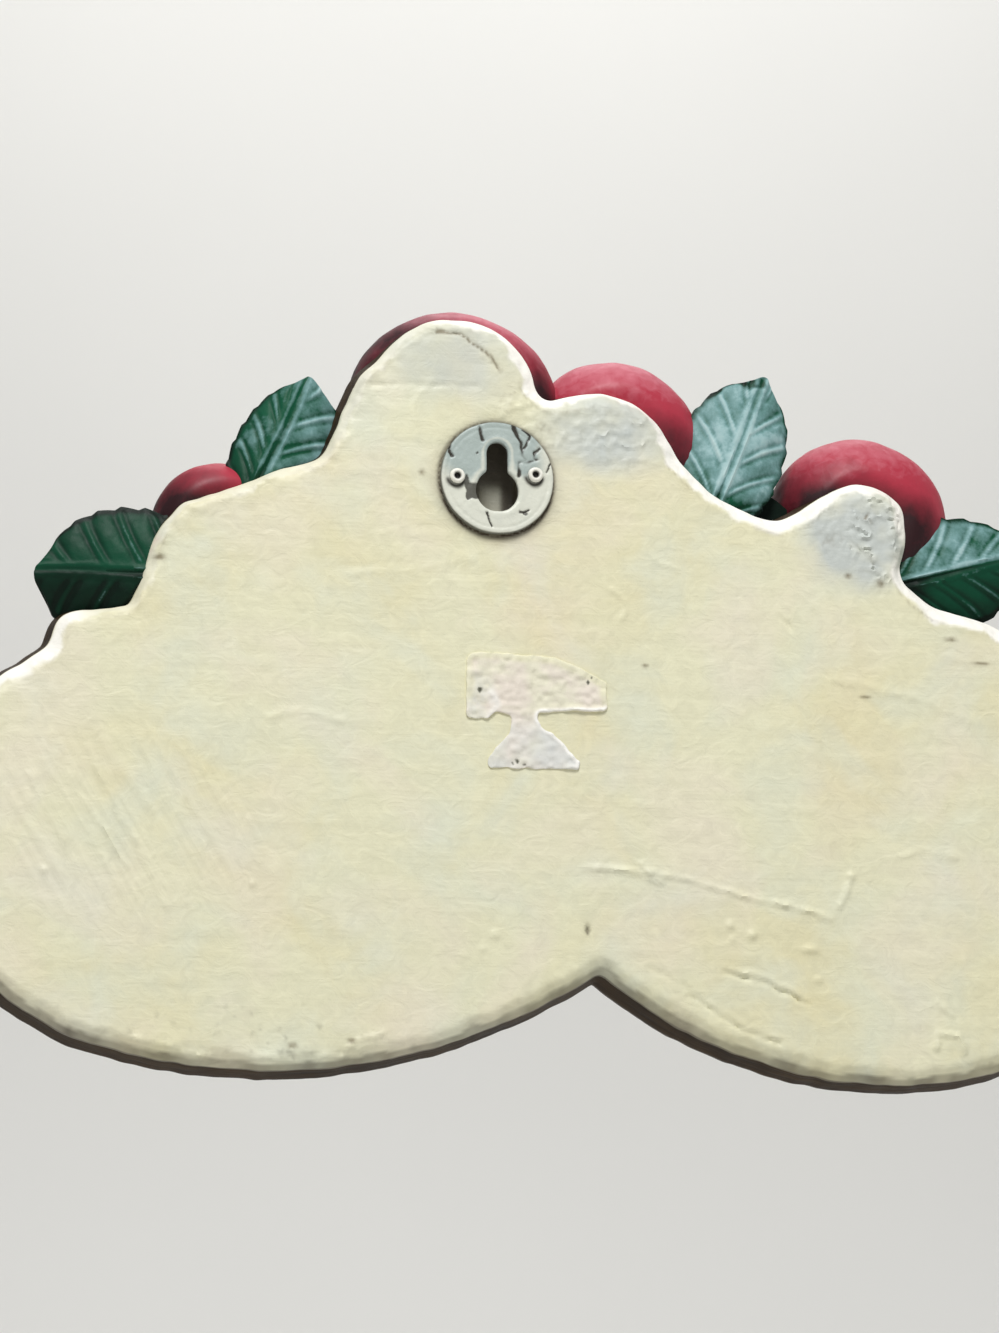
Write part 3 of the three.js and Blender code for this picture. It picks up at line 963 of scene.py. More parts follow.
@dataclass(frozen=True)
class StudioPaper(Finish):
    """Matt background paper of a studio, pale and even."""

    title: ClassVar[str] = "studio_paper"
    tint: str = "#E8E7E3"

    def shader(self, tree: Tree) -> Socket:
        """Builds the nodes.

        Args:
            tree: The material's node tree.

        Returns:
            The shader.
        """
        place = add(tree, "TexCoord", out="Object")
        cloud = add(tree, "TexNoise", {"Scale": pitch(300), "Detail": 1.0}, {"Vector": place})
        tone = add(tree, "MapRange", {"To Min": 0.97, "To Max": 1.0}, {"Value": cloud})
        toned = {**COLOUR, "blend_type": "MULTIPLY", 0: 1.0, 6: srgb(self.tint)}
        base = add(tree, "Mix", toned, {7: tone}, 2)
        return add(tree, "BsdfPrincipled", {"Roughness": 0.9}, {"Base Color": base})


# ---------- pieces ----------


def make_piece(
    name: str, skin: Skin, finish: Finish, stands_for: str, sharp: float = 50.0
) -> bpy.types.Object:
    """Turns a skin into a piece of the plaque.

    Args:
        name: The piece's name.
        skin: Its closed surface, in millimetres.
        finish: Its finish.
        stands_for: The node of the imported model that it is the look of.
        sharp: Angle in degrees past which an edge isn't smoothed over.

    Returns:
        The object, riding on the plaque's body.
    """
    low, high = np.array(CAD_BOX) / MM
    points = np.clip(skin.points, low + 0.02, high - 0.02) * MM
    mesh = bpy.data.meshes.new(name)
    triangles = np.concatenate(skin.triangles)
    mesh.from_pydata(points.tolist(), [], triangles.tolist())
    turned = bmesh.new()
    turned.from_mesh(mesh)
    bmesh.ops.recalc_face_normals(turned, faces=turned.faces)
    turned.to_mesh(mesh)
    turned.free()
    mesh.shade_smooth()
    mesh.set_sharp_from_angle(angle=math.radians(sharp))
    for mark, values in skin.marks.items():
        mesh.attributes.new(mark, "FLOAT", "POINT").data.foreach_set("value", values.astype(np.float32))
    mesh.materials.append(finish.material())
    made = bpy.data.objects.new(name, mesh)
    bpy.context.scene.collection.objects.link(made)
    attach(made, BODY)
    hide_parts(stands_for)
    LOG.info("%s: %d triangles", name, len(triangles))
    return made


@dataclass(frozen=True)
class Stroke:
    """A line in the paint, raised where its height is positive and cut in where it is negative."""

    line: Pairs
    width: float
    height: float
    mark: str = ""

    def share(self, points: Array) -> Array:
        """1 along its middle, falling off past its width, with the waver of a hand."""
        waver = np.stack([noise(points, 2.6, 44), noise(points, 2.6, 45)], axis=1)
        return bell(away(points + 0.4 * waver, self.line), self.width)

    def relief(self, points: Array) -> Array:
        """Height that the line adds at each point."""
        return self.height * (0.85 + 0.6 * noise(points, 1.9, 41)) * self.share(points)


@dataclass(frozen=True)
class Dab:
    """A lump of paint, a pit or a spot of colour."""

    x: float
    z: float
    width: float
    tall: float
    height: float = 0.0
    mark: str = ""

    def share(self, points: Array) -> Array:
        """1 in its middle, falling off past its width and height."""
        across, up = (points[:, 0] - self.x) / self.width, (points[:, 1] - self.z) / self.tall
        return np.exp(-(across**2 + up**2))


@dataclass
class Board:
    """The scalloped board of the casting, with its flat painted back and its umber side and front."""

    node: str = "plaque_casting"
    thickness: float = 13.0
    bevel_width: float = 3.4
    bevel_depth: float = 2.5
    flare: float = 1.6  # how far the side wall leans out past the edge
    side_break: float = 0.66  # share of the thickness at which it stands out furthest
    paint_lip: float = 0.9  # how far the cream paint runs down the side wall
    shell: float = 3.0  # the wall behind which the back is fitted
    field_inset: float = 8.5
    field_depth: float = 2.4
    field_wall: float = 1.65  # how wide the wall of the field is
    field_top: float = -24.0
    pocket_radius: float = 5.6
    pocket_top: float = -4.9
    pocket_low: float = -13.4
    pocket_depth: float = 7.0
    scallops: tuple[tuple[float, float, float], ...] = ((50, -8.8, 131.5), (-88, -37.5, 103.5))
    point_gap: float = 0.64  # between the points of the back
    edge_narrowing: float = 0.45  # share by which the bevel is narrower along most of the top
    scratch_run: tuple[float, float] = (0.515, 0.857)  # direction of the steep brush tracks

    # where the coat is thin and grey
    tongue_grey: Spot = ((-83, -19), (16, 15))
    arch_grey: Spot = ((8, 17), (22, 12))
    plate_grey: Spot = ((-25, 2), (19, 12))
    # blistered crust on the tongue, and wrinkled paint beside the plate
    crust_thick: Spot = ((-88, -19), (8, 15))
    crust_thin: Spot = ((-78, -18), (9, 9))
    wrinkles_near: Spot = ((-9, 3), (12, 10))
    wrinkles_far: Spot = ((-27, 2), (14, 11))
    # steep tracks at the lower left, as relief and as colour, and the rough drips under them
    steep_relief: Spot = ((80, -90), (36, 24))
    steep_colour: Spot = ((76, -92), (38, 22))
    drip_relief: Spot = ((56, -136), (34, 12))
    drip_colour: Spot = ((52, -136), (42, 11))
    # where the white of the bevel reaches further in, and where it stays back
    white_beside_leaf: Spot = ((-52, -27), (17, 11))
    white_at_end: Spot = ((-104, -43), (24, 10))
    bare_hump: Spot = ((-27, 10), (13, 9))
    bare_tongue: Spot = ((-82, -8), (14, 9))
    label_calm: tuple[float, float] = (24, 20)  # half sizes of the even coat round the label

    strokes: tuple[Stroke, ...] = (
        # long ridge at the lower right, with its two branches
        Stroke(((-19.5, -96.1), (-32.9, -96.6), (-45.2, -98.4), (-58.6, -101.9), (-74.4, -105.4)), 0.6, 0.62),
        Stroke(((-32.0, -94.5), (-34.0, -98.0), (-37.0, -98.6)), 0.6, 0.5),
        Stroke(((-79.2, -96.5), (-78.6, -100.0), (-76.8, -102.5)), 0.7, 0.6),
        # cuts under it, two with the lip that they threw up
        Stroke(((-50.5, -117.8), (-60.5, -120.4), (-69.5, -124.5)), 0.5, -0.5),
        Stroke(((-50.5, -116.7), (-60.5, -119.3), (-69.5, -123.4)), 0.55, 0.3),
        Stroke(((-42.6, -122.9), (-48.1, -126.5), (-54.8, -130.6), (-62.6, -132.9)), 0.5, -0.5),
        Stroke(((-43.6, -122.2), (-49.1, -125.7), (-55.4, -129.8), (-62.6, -132.0)), 0.5, 0.22),
        Stroke(((-34.0, -117.5), (-41.0, -120.6), (-46.0, -123.8)), 0.6, -0.25),
        # wrinkles towards the lower right edge
        Stroke(((-97.8, -133.0), (-98.6, -130.3), (-103.2, -130.6), (-104.6, -134.4)), 0.7, 0.7),
        Stroke(((-98.6, -123.3), (-101.6, -126.0)), 0.65, 0.5),
        Stroke(((-88.0, -92.0), (-96.0, -90.0), (-104.0, -91.0)), 0.7, 0.22),
        # a dent, a ridge and the dark crease in the arch
        Stroke(((28.3, 9.0), (16.0, 9.9), (3.7, 10.4)), 0.5, -0.3),
        Stroke(((17.5, -2.5), (18.5, 6.0), (14.0, 11.5)), 0.6, 0.2),
        Stroke(
            ((13.5, 22.2), (11.5, 22.5), (9.5, 22.3), (7.5, 21.6), (5.5, 20.7), (3.6, 19.4)),
            0.26, -0.3, "fleck",
        ),
        Stroke(((3.6, 19.4), (1.8, 17.8), (0.3, 16.0), (-1.0, 14.0)), 0.26, -0.3, "fleck"),
        # low ridges of thick paint across the back
        Stroke(((33.0, -66.0), (42.0, -64.0), (50.0, -65.5)), 0.8, 0.2),
        Stroke(((5.0, -28.5), (18.0, -32.0), (32.0, -33.5)), 0.9, 0.2),
        Stroke(((-26.0, -34.0), (-29.0, -37.0), (-28.5, -41.0)), 0.6, 0.25),
        Stroke(((-33.0, -23.0), (-36.0, -27.5), (-41.0, -29.0)), 0.6, 0.25),
        Stroke(((-76.0, -52.0), (-96.0, -55.5), (-108.0, -60.0)), 0.9, 0.2),
        # nicks
        Stroke(((-64.6, -38.6), (-67.0, -41.0)), 0.6, -0.4),
        Stroke(((7.2, -63.5), (7.3, -69.0)), 0.4, -0.18),
        # drips along the lower left edge
        Stroke(((77.0, -134.6), (66.0, -137.2), (58.0, -138.2)), 0.7, 0.5),
        Stroke(((52.0, -138.2), (44.0, -139.0), (36.0, -137.6)), 0.7, 0.45),
        Stroke(((24.0, -132.0), (30.0, -134.5), (33.0, -138.0)), 0.6, 0.45),
        # steep scratches at the lower left
        Stroke(((86.0, -78.0), (78.0, -92.0), (70.0, -108.0)), 0.5, 0.32),
        Stroke(((93.0, -76.0), (86.0, -88.0), (76.0, -103.0)), 0.5, 0.3),
        Stroke(((100.0, -80.0), (92.0, -94.0)), 0.5, 0.28),
        Stroke(((58.0, -84.0), (51.0, -97.0)), 0.5, 0.26),
    )
    dabs: tuple[Dab, ...] = (
        # blobs of paint
        Dab(-56.7, -109.6, 1.1, 0.9, 0.8),
        Dab(-69.7, -112.5, 1.9, 0.8, 0.65),
        Dab(-51.8, -107.6, 0.8, 0.8, 0.6),
        Dab(-52.4, -110.6, 0.7, 0.7, 0.4),
        Dab(-56.0, -114.5, 1.6, 1.2, 0.2),
        Dab(-79.4, -96.0, 1.0, 0.8, 0.4),
        Dab(0.3, -111.1, 1.1, 0.9, 0.5),
        Dab(2.8, -114.2, 0.9, 0.7, 0.4),
        Dab(-71.5, -119.0, 0.9, 0.7, 0.5),
        Dab(96.0, -100.0, 0.6, 0.5, 0.5),
        Dab(52.4, -101.6, 0.7, 0.6, 0.45),
        Dab(-101.0, -132.4, 2.4, 1.6, 0.35),
        # chip that shows the umber
        Dab(-20.1, -109.5, 0.45, 1.0, -0.7, "umber"),
        # dark specks
        Dab(73.4, -31.9, 1.1, 0.6, -0.2, "fleck"),
        Dab(16.6, -9.9, 0.6, 0.5, -0.1, "fleck"),
        Dab(-83.7, -55.8, 1.2, 0.35, 0.1, "fleck"),
        Dab(-33.3, -51.0, 0.6, 0.4, -0.1, "fleck"),
        Dab(-104.0, -41.8, 1.2, 0.4, 0.2, "fleck"),
        Dab(-111.0, -47.0, 1.6, 0.35, 0.2, "fleck"),
        Dab(-87.9, -29.8, 0.8, 0.8, -0.3, "fleck"),
        Dab(-80.5, -28.4, 0.7, 0.5, -0.3, "fleck"),
        Dab(31.0, -134.2, 0.8, 0.5, -0.3, "fleck"),
        Dab(43.5, -135.4, 0.9, 0.35, -0.2, "fleck"),
        # bare plaster at the upper left
        Dab(75.6, -27.6, 1.5, 1.3, -0.3, "bare"),
        Dab(76.5, -29.5, 1.2, 1.4, -0.2, "bare"),
    )

    def __post_init__(self) -> None:
        """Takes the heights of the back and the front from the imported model."""
        self.back = float(corners(self.node)[1][1])
        self.front = self.back - self.thickness

    def angle(self, scallop: tuple[float, float, float], x: float) -> float:
        """Angle on a scallop's circle at which its arc stands over x."""
        return -math.acos((x - scallop[0]) / scallop[2])

    def cusp(self, grow: float) -> Array:
        """Works out where the two scallop circles cross at the bottom.

        Args:
            grow: How much both are larger.

        Returns:
            The crossing, as x and z.
        """
        (ax, az, ra), (bx, bz, rb) = self.scallops
        first, across = np.array([ax, az]), np.array([bx - ax, bz - az])
        apart = float(np.linalg.norm(across))
        ra, rb = ra + grow, rb + grow
        along = (ra**2 - rb**2 + apart**2) / (2 * apart)
        across = across / apart
        side = np.array([-across[1], across[0]]) * math.sqrt(ra**2 - along**2)
        return first + across * along + side

    def outline(self) -> Loop:
        """Draws the flat back, out to where its rounded edge ends.

        Returns:
            The outline.
        """
        a, b = self.scallops
        tip = float(self.cusp(0)[0])
        drawn = Outline().arc(*a, self.angle(a, tip), self.angle(a, 90))
        drawn.through(((104.5, -125), (115.5, -111), (120.5, -92), (117, -73), (106, -58.6)))
        drawn.through(((96.8, -52), (94, -45.6), (87.5, -43.6), (79.4, -42.8)))
        drawn.through(((76.9, -36), (73.8, -26.5), (68.5, -19.3)))
        drawn.through(((58, -15.4), (48, -10.6), (38.4, -7.4), (34.6, 0.5), (30.2, 11.5)))
        drawn.arc(8.6, 7.4, 18.8, 0.85, 2.75)
        drawn.through(((-11.8, 8.9), (-25, 11.2), (-35.5, 6.5), (-42.6, -3.5), (-50, -11)))
        drawn.through(((-64.3, -16.2), (-74.9, -10.1), (-84, -6.3), (-93.6, -10.2), (-94.8, -19.5)))
        drawn.through(((-93.6, -28), (-101, -34.4)))
        drawn.through(((-116.5, -38.5), (-127.5, -48), (-133.2, -67), (-133.9, -91)))
        drawn.through(((-131.6, -113), (-125, -130), (-113, -137.9)))
        drawn.arc(*b, self.angle(b, -113), self.angle(b, tip))
        return drawn.loop(0.5, 1.2, wobble=0.3)

    def field(self) -> Loop:
        """Draws the sunk field on the front.

        Returns:
            The outline.
        """
        a, b = (((x, z, radius - self.field_inset)) for x, z, radius in self.scallops)
        tip = float(self.cusp(-self.field_inset)[0])
        top = self.field_top
        drawn = Outline().arc(*a, self.angle(a, tip), self.angle(a, 86))
        drawn.through(((98, -119.5), (107.5, -106), (111, -92), (107, -76), (96, -63), (82, -55)))
        drawn.through(((40, top - 12), (0, top), (-60, top - 4), (-98, -43.5)))
        drawn.through(((-112, -46.5), (-120.5, -54.5), (-124.7, -70), (-125.4, -91)))
        drawn.through(((-122.9, -110), (-116.6, -124), (-107, -131)))
        drawn.arc(*b, self.angle(b, -107), self.angle(b, tip))
        return drawn.loop(0.8, 2)

    def pocket(self) -> Loop:
        """Draws the hollow behind the keyhole, which a screw's head slides up in.

        Returns:
            The outline.
        """
        drawn = Outline().arc(0, self.pocket_top, self.pocket_radius, 0, math.pi)
        drawn.arc(0, self.pocket_low, self.pocket_radius, math.pi, 2 * math.pi)
        return drawn.loop(0.4, 0.3)

    def greyed(self, flat: Array) -> Array:
        """Finds where the coat is thin and grey: behind the fruit and round the plate.

        Args:
            flat: Points of the back, as x and z.

        Returns:
            How grey each point is.
        """
        spots = ((1.2, self.tongue_grey), (0.6, self.arch_grey), (0.9, self.plate_grey))
        most = np.maximum.reduce([much * patch(flat, *spot) for much, spot in spots])
        return np.clip(most * (0.8 + 0.5 * rough(flat, 6, 11)), 0, 1)

    def crust(self, flat: Array) -> tuple[Array, Array]:
        """Blisters and wrinkles the paint, most on the tongue behind the outer apple.

        Args:
            flat: Points of the back, as x and z.

        Returns:
            The height that this adds, and how open the seams are.
        """
        here = patch(flat, *self.crust_thick) + 0.35 * patch(flat, *self.crust_thin)
        wrinkled = patch(flat, *self.wrinkles_near) + 1.1 * patch(flat, *self.wrinkles_far)
        coarse = noise(flat, 4.2, 21) + 0.5 * noise(flat, 2.0, 22) + 0.25 * noise(flat, 1.1, 25)
        fine = noise(flat, (4.0, 2.6), 23) + 0.5 * noise(flat, 1.5, 24)
        rim, seam = bell(np.abs(coarse) - 0.22, 0.1), bell(coarse, 0.09)
        fold = bell(np.abs(fine) - 0.12, 0.12)
        blisters = here * (0.5 * rim - 0.25 * seam + 0.12 * noise(flat, 1.3, 26))
        height = blisters + wrinkled * (0.34 * (fold - 0.3) + 0.1 * noise(flat, 1.4, 28))
        return height, (here + 0.4 * wrinkled) * seam * step_between(noise(flat, 5, 27), -0.2, 0.5)

    def relief(self, flat: Array, depth: Array) -> Array:
        """Works out how high the paint and its damage stand over the flat of the back.

        Args:
            flat: Points of the back, as x and z.
            depth: Their distance from its edge.

        Returns:
            The height at each point.
        """
        rise = 0.12 * rough(flat, 22, 3) + 0.05 * noise(flat, (16, 2.0), 7)
        rise = rise + 0.055 * rough(flat, 3.0, 9) * (1 + noise(flat, 17, 10))
        for stroke in self.strokes:
            rise += stroke.relief(flat)
        for dab in self.dabs:
            rise += dab.height * dab.share(flat)
        rise += self.crust(flat)[0]
        x, z = self.scratch_run
        turned = np.stack([flat @ (x, z), flat @ (-z, x)], axis=1)
        bristles = np.clip(np.abs(noise(turned, (17, 1.1), 43)) - 0.3, 0, None)
        rise += 0.42 * bristles * patch(flat, *self.steep_relief)
        ragged = (1 - step_between(depth, 1.2, 5.5)) * np.where(flat[:, 1] < -40, 0.36, 0.6)
        ragged *= 1 + 1.4 * patch(flat, *self.drip_relief)
        rise += ragged * rough(flat, 3.0, 31)
        calm = patch(flat, middle("label_remnant")[0], self.label_calm)
        return rise * (1 - 0.8 * calm) * step_between(depth, 0.0, 1.2)

    def ceiling(self, flat: Array) -> Array:
        """Limits how far back a form on the front may reach: behind the edge, and clear of the pocket.

        Args:
            flat: Points of the form, as x and z.

        Returns:
            The furthest y at each point.
        """
        edge = self.outline()
        inside, gap = within(flat, [edge]), depth_in(flat, [edge])
        at_edge = self.back - self.bevel_depth - 0.5
        deep = np.where(gap > self.shell, self.back - self.pocket_depth - 1.5, at_edge)
        return np.where(inside, deep, at_edge + 0.6 * gap)

    def build_back(self) -> bpy.types.Object:
        """Builds the painted back with its rounded edge, and the block behind it with the screw pocket.

        Returns:
            The piece.
        """
        edge, pocket = self.outline(), self.pocket()
        rings = ((0.06, 0.5), (0.2, 0.5), (0.45, 0.6), (0.8, 0.6), (1.3, 0.7), (1.9, 0.7))
        flat, triangles, rims = filled([edge, pocket], self.point_gap, rings, seed=1)
        depth = depth_in(flat, [edge])
        worn = np.clip(depth + 0.8 * rough(flat, 5, 2) * step_between(depth, 0, 1.6), 0, None)
        facing = edge.normals[edge.nearest(flat), 1]
        top = step_between(facing, -0.35, 0.15)
        thick = np.maximum(1 - step_between(flat[:, 0], 3, 15), step_between(flat[:, 0], 84, 96))
        wide = 1 - self.edge_narrowing * top * (1 - thick)
        share = np.clip(1 - worn / (self.bevel_width * wide), 0, 1)
        height = self.back - self.bevel_depth * share**1.35 + self.relief(flat, depth)
        height[rims[0]] = self.back - self.bevel_depth
        height[rims[1]] = self.back
        skin = Skin()
        numbers = skin.cover(flat, height, triangles)
        spots = self.spots(flat)
        crease = bell(worn - 3.5 * wide, 0.28) * top * np.clip(0.3 + rough(flat, 9, 63), 0, 1)
        shade = np.clip(0.5 + 0.5 * rough(flat, 5, 51), 0, 1)
        # painted shade: umber on the bevel where it faces down, partly the umber wash run over the edge
        under = step_between(-facing, 0.0, 0.7)
        umber_and_shade_under = under * (1 - step_between(worn, 1.0, 1.7)) * (0.4 + 0.6 * shade)
        chalky = np.clip((1.15 + 0.6 * rough(flat, 4, 14)) * (0.25 + 0.75 * thick), 0, 1)
        flecks = np.maximum.reduce([spots["fleck"], 0.75 * self.crust(flat)[1], 0.32 * crease])
        skin.mark(
            grey=self.greyed(flat),
            # white paint only on the bevel that faces up: partly a painted highlight
            white=np.clip(top * self.whitened(flat, worn, wide) * chalky, 0, 1),
            bare=spots["bare"],
            # umber: chips and drips, with painted shade under edges and round the plate
            umber=np.clip(np.maximum.reduce([spots["umber"], 0.8 * umber_and_shade_under, self.plate_shadow_and_drips(flat)]), 0, 1),
            fleck=np.clip(flecks, 0, 1),
            steep=patch(flat, *self.steep_colour),
        )
        self.close_block(skin, numbers[rims[0]], edge)
        self.close_pocket(skin, numbers[rims[1]], pocket)
        return make_piece("board_back", skin, BrushedCream(), self.node)

    def whitened(self, flat: Array, worn: Array, wide: Array) -> Array:
        """Finds how far the white of the bevel has run in over the flat.

        Args:
            flat: Points of the back, as x and z.
            worn: Their distance from its worn edge.
            wide: Width of the bevel there, as a share of its greatest.

        Returns:
            How white each point is.
        """
        spread = 1.6 * patch(flat, *self.white_beside_leaf) + 1.2 * patch(flat, *self.white_at_end)
        spread = spread - 1.8 * patch(flat, *self.bare_hump) - 0.7 * patch(flat, *self.bare_tongue)
        run = worn + 1.4 * rough(flat, 5, 13) + 0.35 * noise(flat, 1.6, 12) - spread
        return 1 - step_between(run, 2.1 * wide, 3.1 * wide)

    def spots(self, flat: Array) -> dict[str, Array]:
        """Finds the colour of the dabs and strokes that have one.

        Args:
            flat: Points of the back, as x and z.

        Returns:
            How much of each colour every point has.
        """
        spots = {name: np.zeros(len(flat)) for name in ("umber", "fleck", "bare")}
        for dab in (*self.dabs, *self.strokes):
            if dab.mark:
                ragged = np.clip(dab.share(flat) * (1.5 + 0.8 * rough(flat, 1.5, 61)), 0, 1)
                spots[dab.mark] = np.maximum(spots[dab.mark], 0.75 * ragged)
        return spots

    def plate_shadow_and_drips(self, flat: Array) -> Array:
        """Finds the painted shadow round the plate, a dark ring at its edge that widens on its low side, and
        the umber drips at the edge.

        Args:
            flat: Points of the back, as x and z.

        Returns:
            How dark each point is.
        """
        centre, radius = middle("hanger_plate")
        ring = np.linalg.norm(flat - centre, axis=1) - radius
        # painted shadow: a dark ring at the plate's edge and a wider shade below it
        low_side = 0.15 + 0.35 * step_between(centre[1] - flat[:, 1], -2, 11)
        plate_shadow = 0.8 * bell(ring, 0.6) + low_side * bell(ring, 1.9) * (ring > 0)
        drips = patch(flat, *self.drip_colour) * step_between(rough(flat, 1.8, 62), 0.3, 0.9)
        return np.maximum(0.35 * drips, plate_shadow)

    def close_block(self, skin: Skin, rim: Array, edge: Loop) -> None:
        """Adds the painted lip and the hidden block behind the back.

        Args:
            skin: The skin of the back.
            rim: Numbers of its outer points.
            edge: The outline that they lie on.
        """
        slope = self.flare / (self.thickness * self.side_break - self.bevel_depth)
        top = self.back - self.bevel_depth
        wave = self.paint_lip * (1 + 0.5 * rough(edge.points, 7, 81))
        last = rim
        for share in (0.5, 1.0):
            last = skin.wall(last, edge.grown(slope * wave * share), top - wave * share)
        block = edge.grown(-self.shell)
        shoulder = skin.wall(last, block, top - wave)
        skin.lid(skin.wall(shoulder, block, self.back - self.thickness + self.field_depth + 1.5))
        # umber on the lip where the edge faces down: painted shade, partly the umber wash of the side wall
        lip = 0.85 * step_between(-edge.normals[:, 1], 0.0, 0.7)
        skin.mark(umber=np.concatenate([lip, lip, np.zeros(2 * len(lip))]))

    def close_pocket(self, skin: Skin, hole: Array, pocket: Loop) -> None:
        """Adds the wall and the bed of the screw pocket, painted dark as shade but for a lighter strip that
        light reaches.

        Args:
            skin: The skin of the back.
            hole: Numbers of the points round its hole.
            pocket: The outline that they lie on.
        """
        last = hole
        for share in (0.12, 0.5, 0.9):
            last = skin.wall(last, pocket.points, self.back - self.pocket_depth * share)
        # painted shade on the pocket's wall
        skin.mark(umber=0.85, grey=0.1)
        flat, triangles, rims = filled([pocket.moved(-0.8)], 0.6, seed=5)
        floor = skin.cover(flat, self.back - self.pocket_depth + 0.15 * rough(flat, 3, 55), triangles)
        skin.band(floor[rims[0]], last)
        # painted shade on the bed, lifted on the strip that light reaches
        lit = (1 - step_between(np.abs(flat[:, 0]), 1.8, 3.2)) * (1 - step_between(flat[:, 1], -12.5, -8.5))
        skin.mark(umber=0.85 - 0.6 * lit, grey=0.4)

    def build_front(self) -> bpy.types.Object:
        """Builds the side wall and the decorated front with its sunk field, hollow behind.

        Returns:
            The piece.
        """
        edge, sunk = self.outline(), self.field()
        side_top = self.back - self.bevel_depth - 0.3
        wide = self.back - self.thickness * self.side_break
        rim_y = self.front + self.field_depth
        foot = self.flare * 0.85
        skin = Skin()
        floor = skin.ring(edge.grown(-self.shell - 0.3), rim_y + 1.2)
        skin.lid(floor)
        last = skin.wall(floor, edge.grown(-self.shell - 0.3), side_top)
        last = skin.wall(last, edge.grown(-0.3), side_top)
        skin.mark(buff=0.0)
        for share in np.linspace(0, 1, 15):
            y = side_top + (rim_y - side_top) * share
            out = np.interp(-y, (-side_top, -wide, -rim_y), (0.02, self.flare, foot))
            spots = np.column_stack([edge.points, np.full(len(edge.points), y)])
            bumps = 0.12 * rough(spots, 5, 91) - 0.1 * (share == 0)
            last = skin.wall(last, edge.grown(out + bumps), y)
        skin.mark(buff=0.04)
        outer = edge.moved(foot + 0.12 * rough(spots, 5, 91))
        rings = ((0.15, 0.8), (0.5, 0.9), (1.1, 1.0), (2.0, 1.2))
        flat, triangles, rims = filled([outer], 1.5, rings, seed=2)
        depth = depth_in(flat, [outer])
        gap = depth_in(flat, [sunk]) * np.where(within(flat, [sunk]), -1, 1)
        sink = 1 - step_between(gap, -0.3, self.field_wall)
        worn = 0.12 * rough(flat, 12, 101) + 0.06 * noise(flat, (14, 2.4), 102)
        height = self.front + rounded(depth, 4.0, self.field_depth) + self.field_depth * sink
        height += worn * step_between(depth, 0, 3)
        height[rims[0]] = rim_y
        numbers = skin.ring(flat, height)
        numbers[rims[0]] = last
        skin.triangles.append(numbers[triangles])
        skin.mark(buff=0.25 + 0.75 * sink * step_between(-gap, 0.5, 6))
        skin.drop_unused()
        return make_piece("board_front", skin, UmberWash(), self.node)


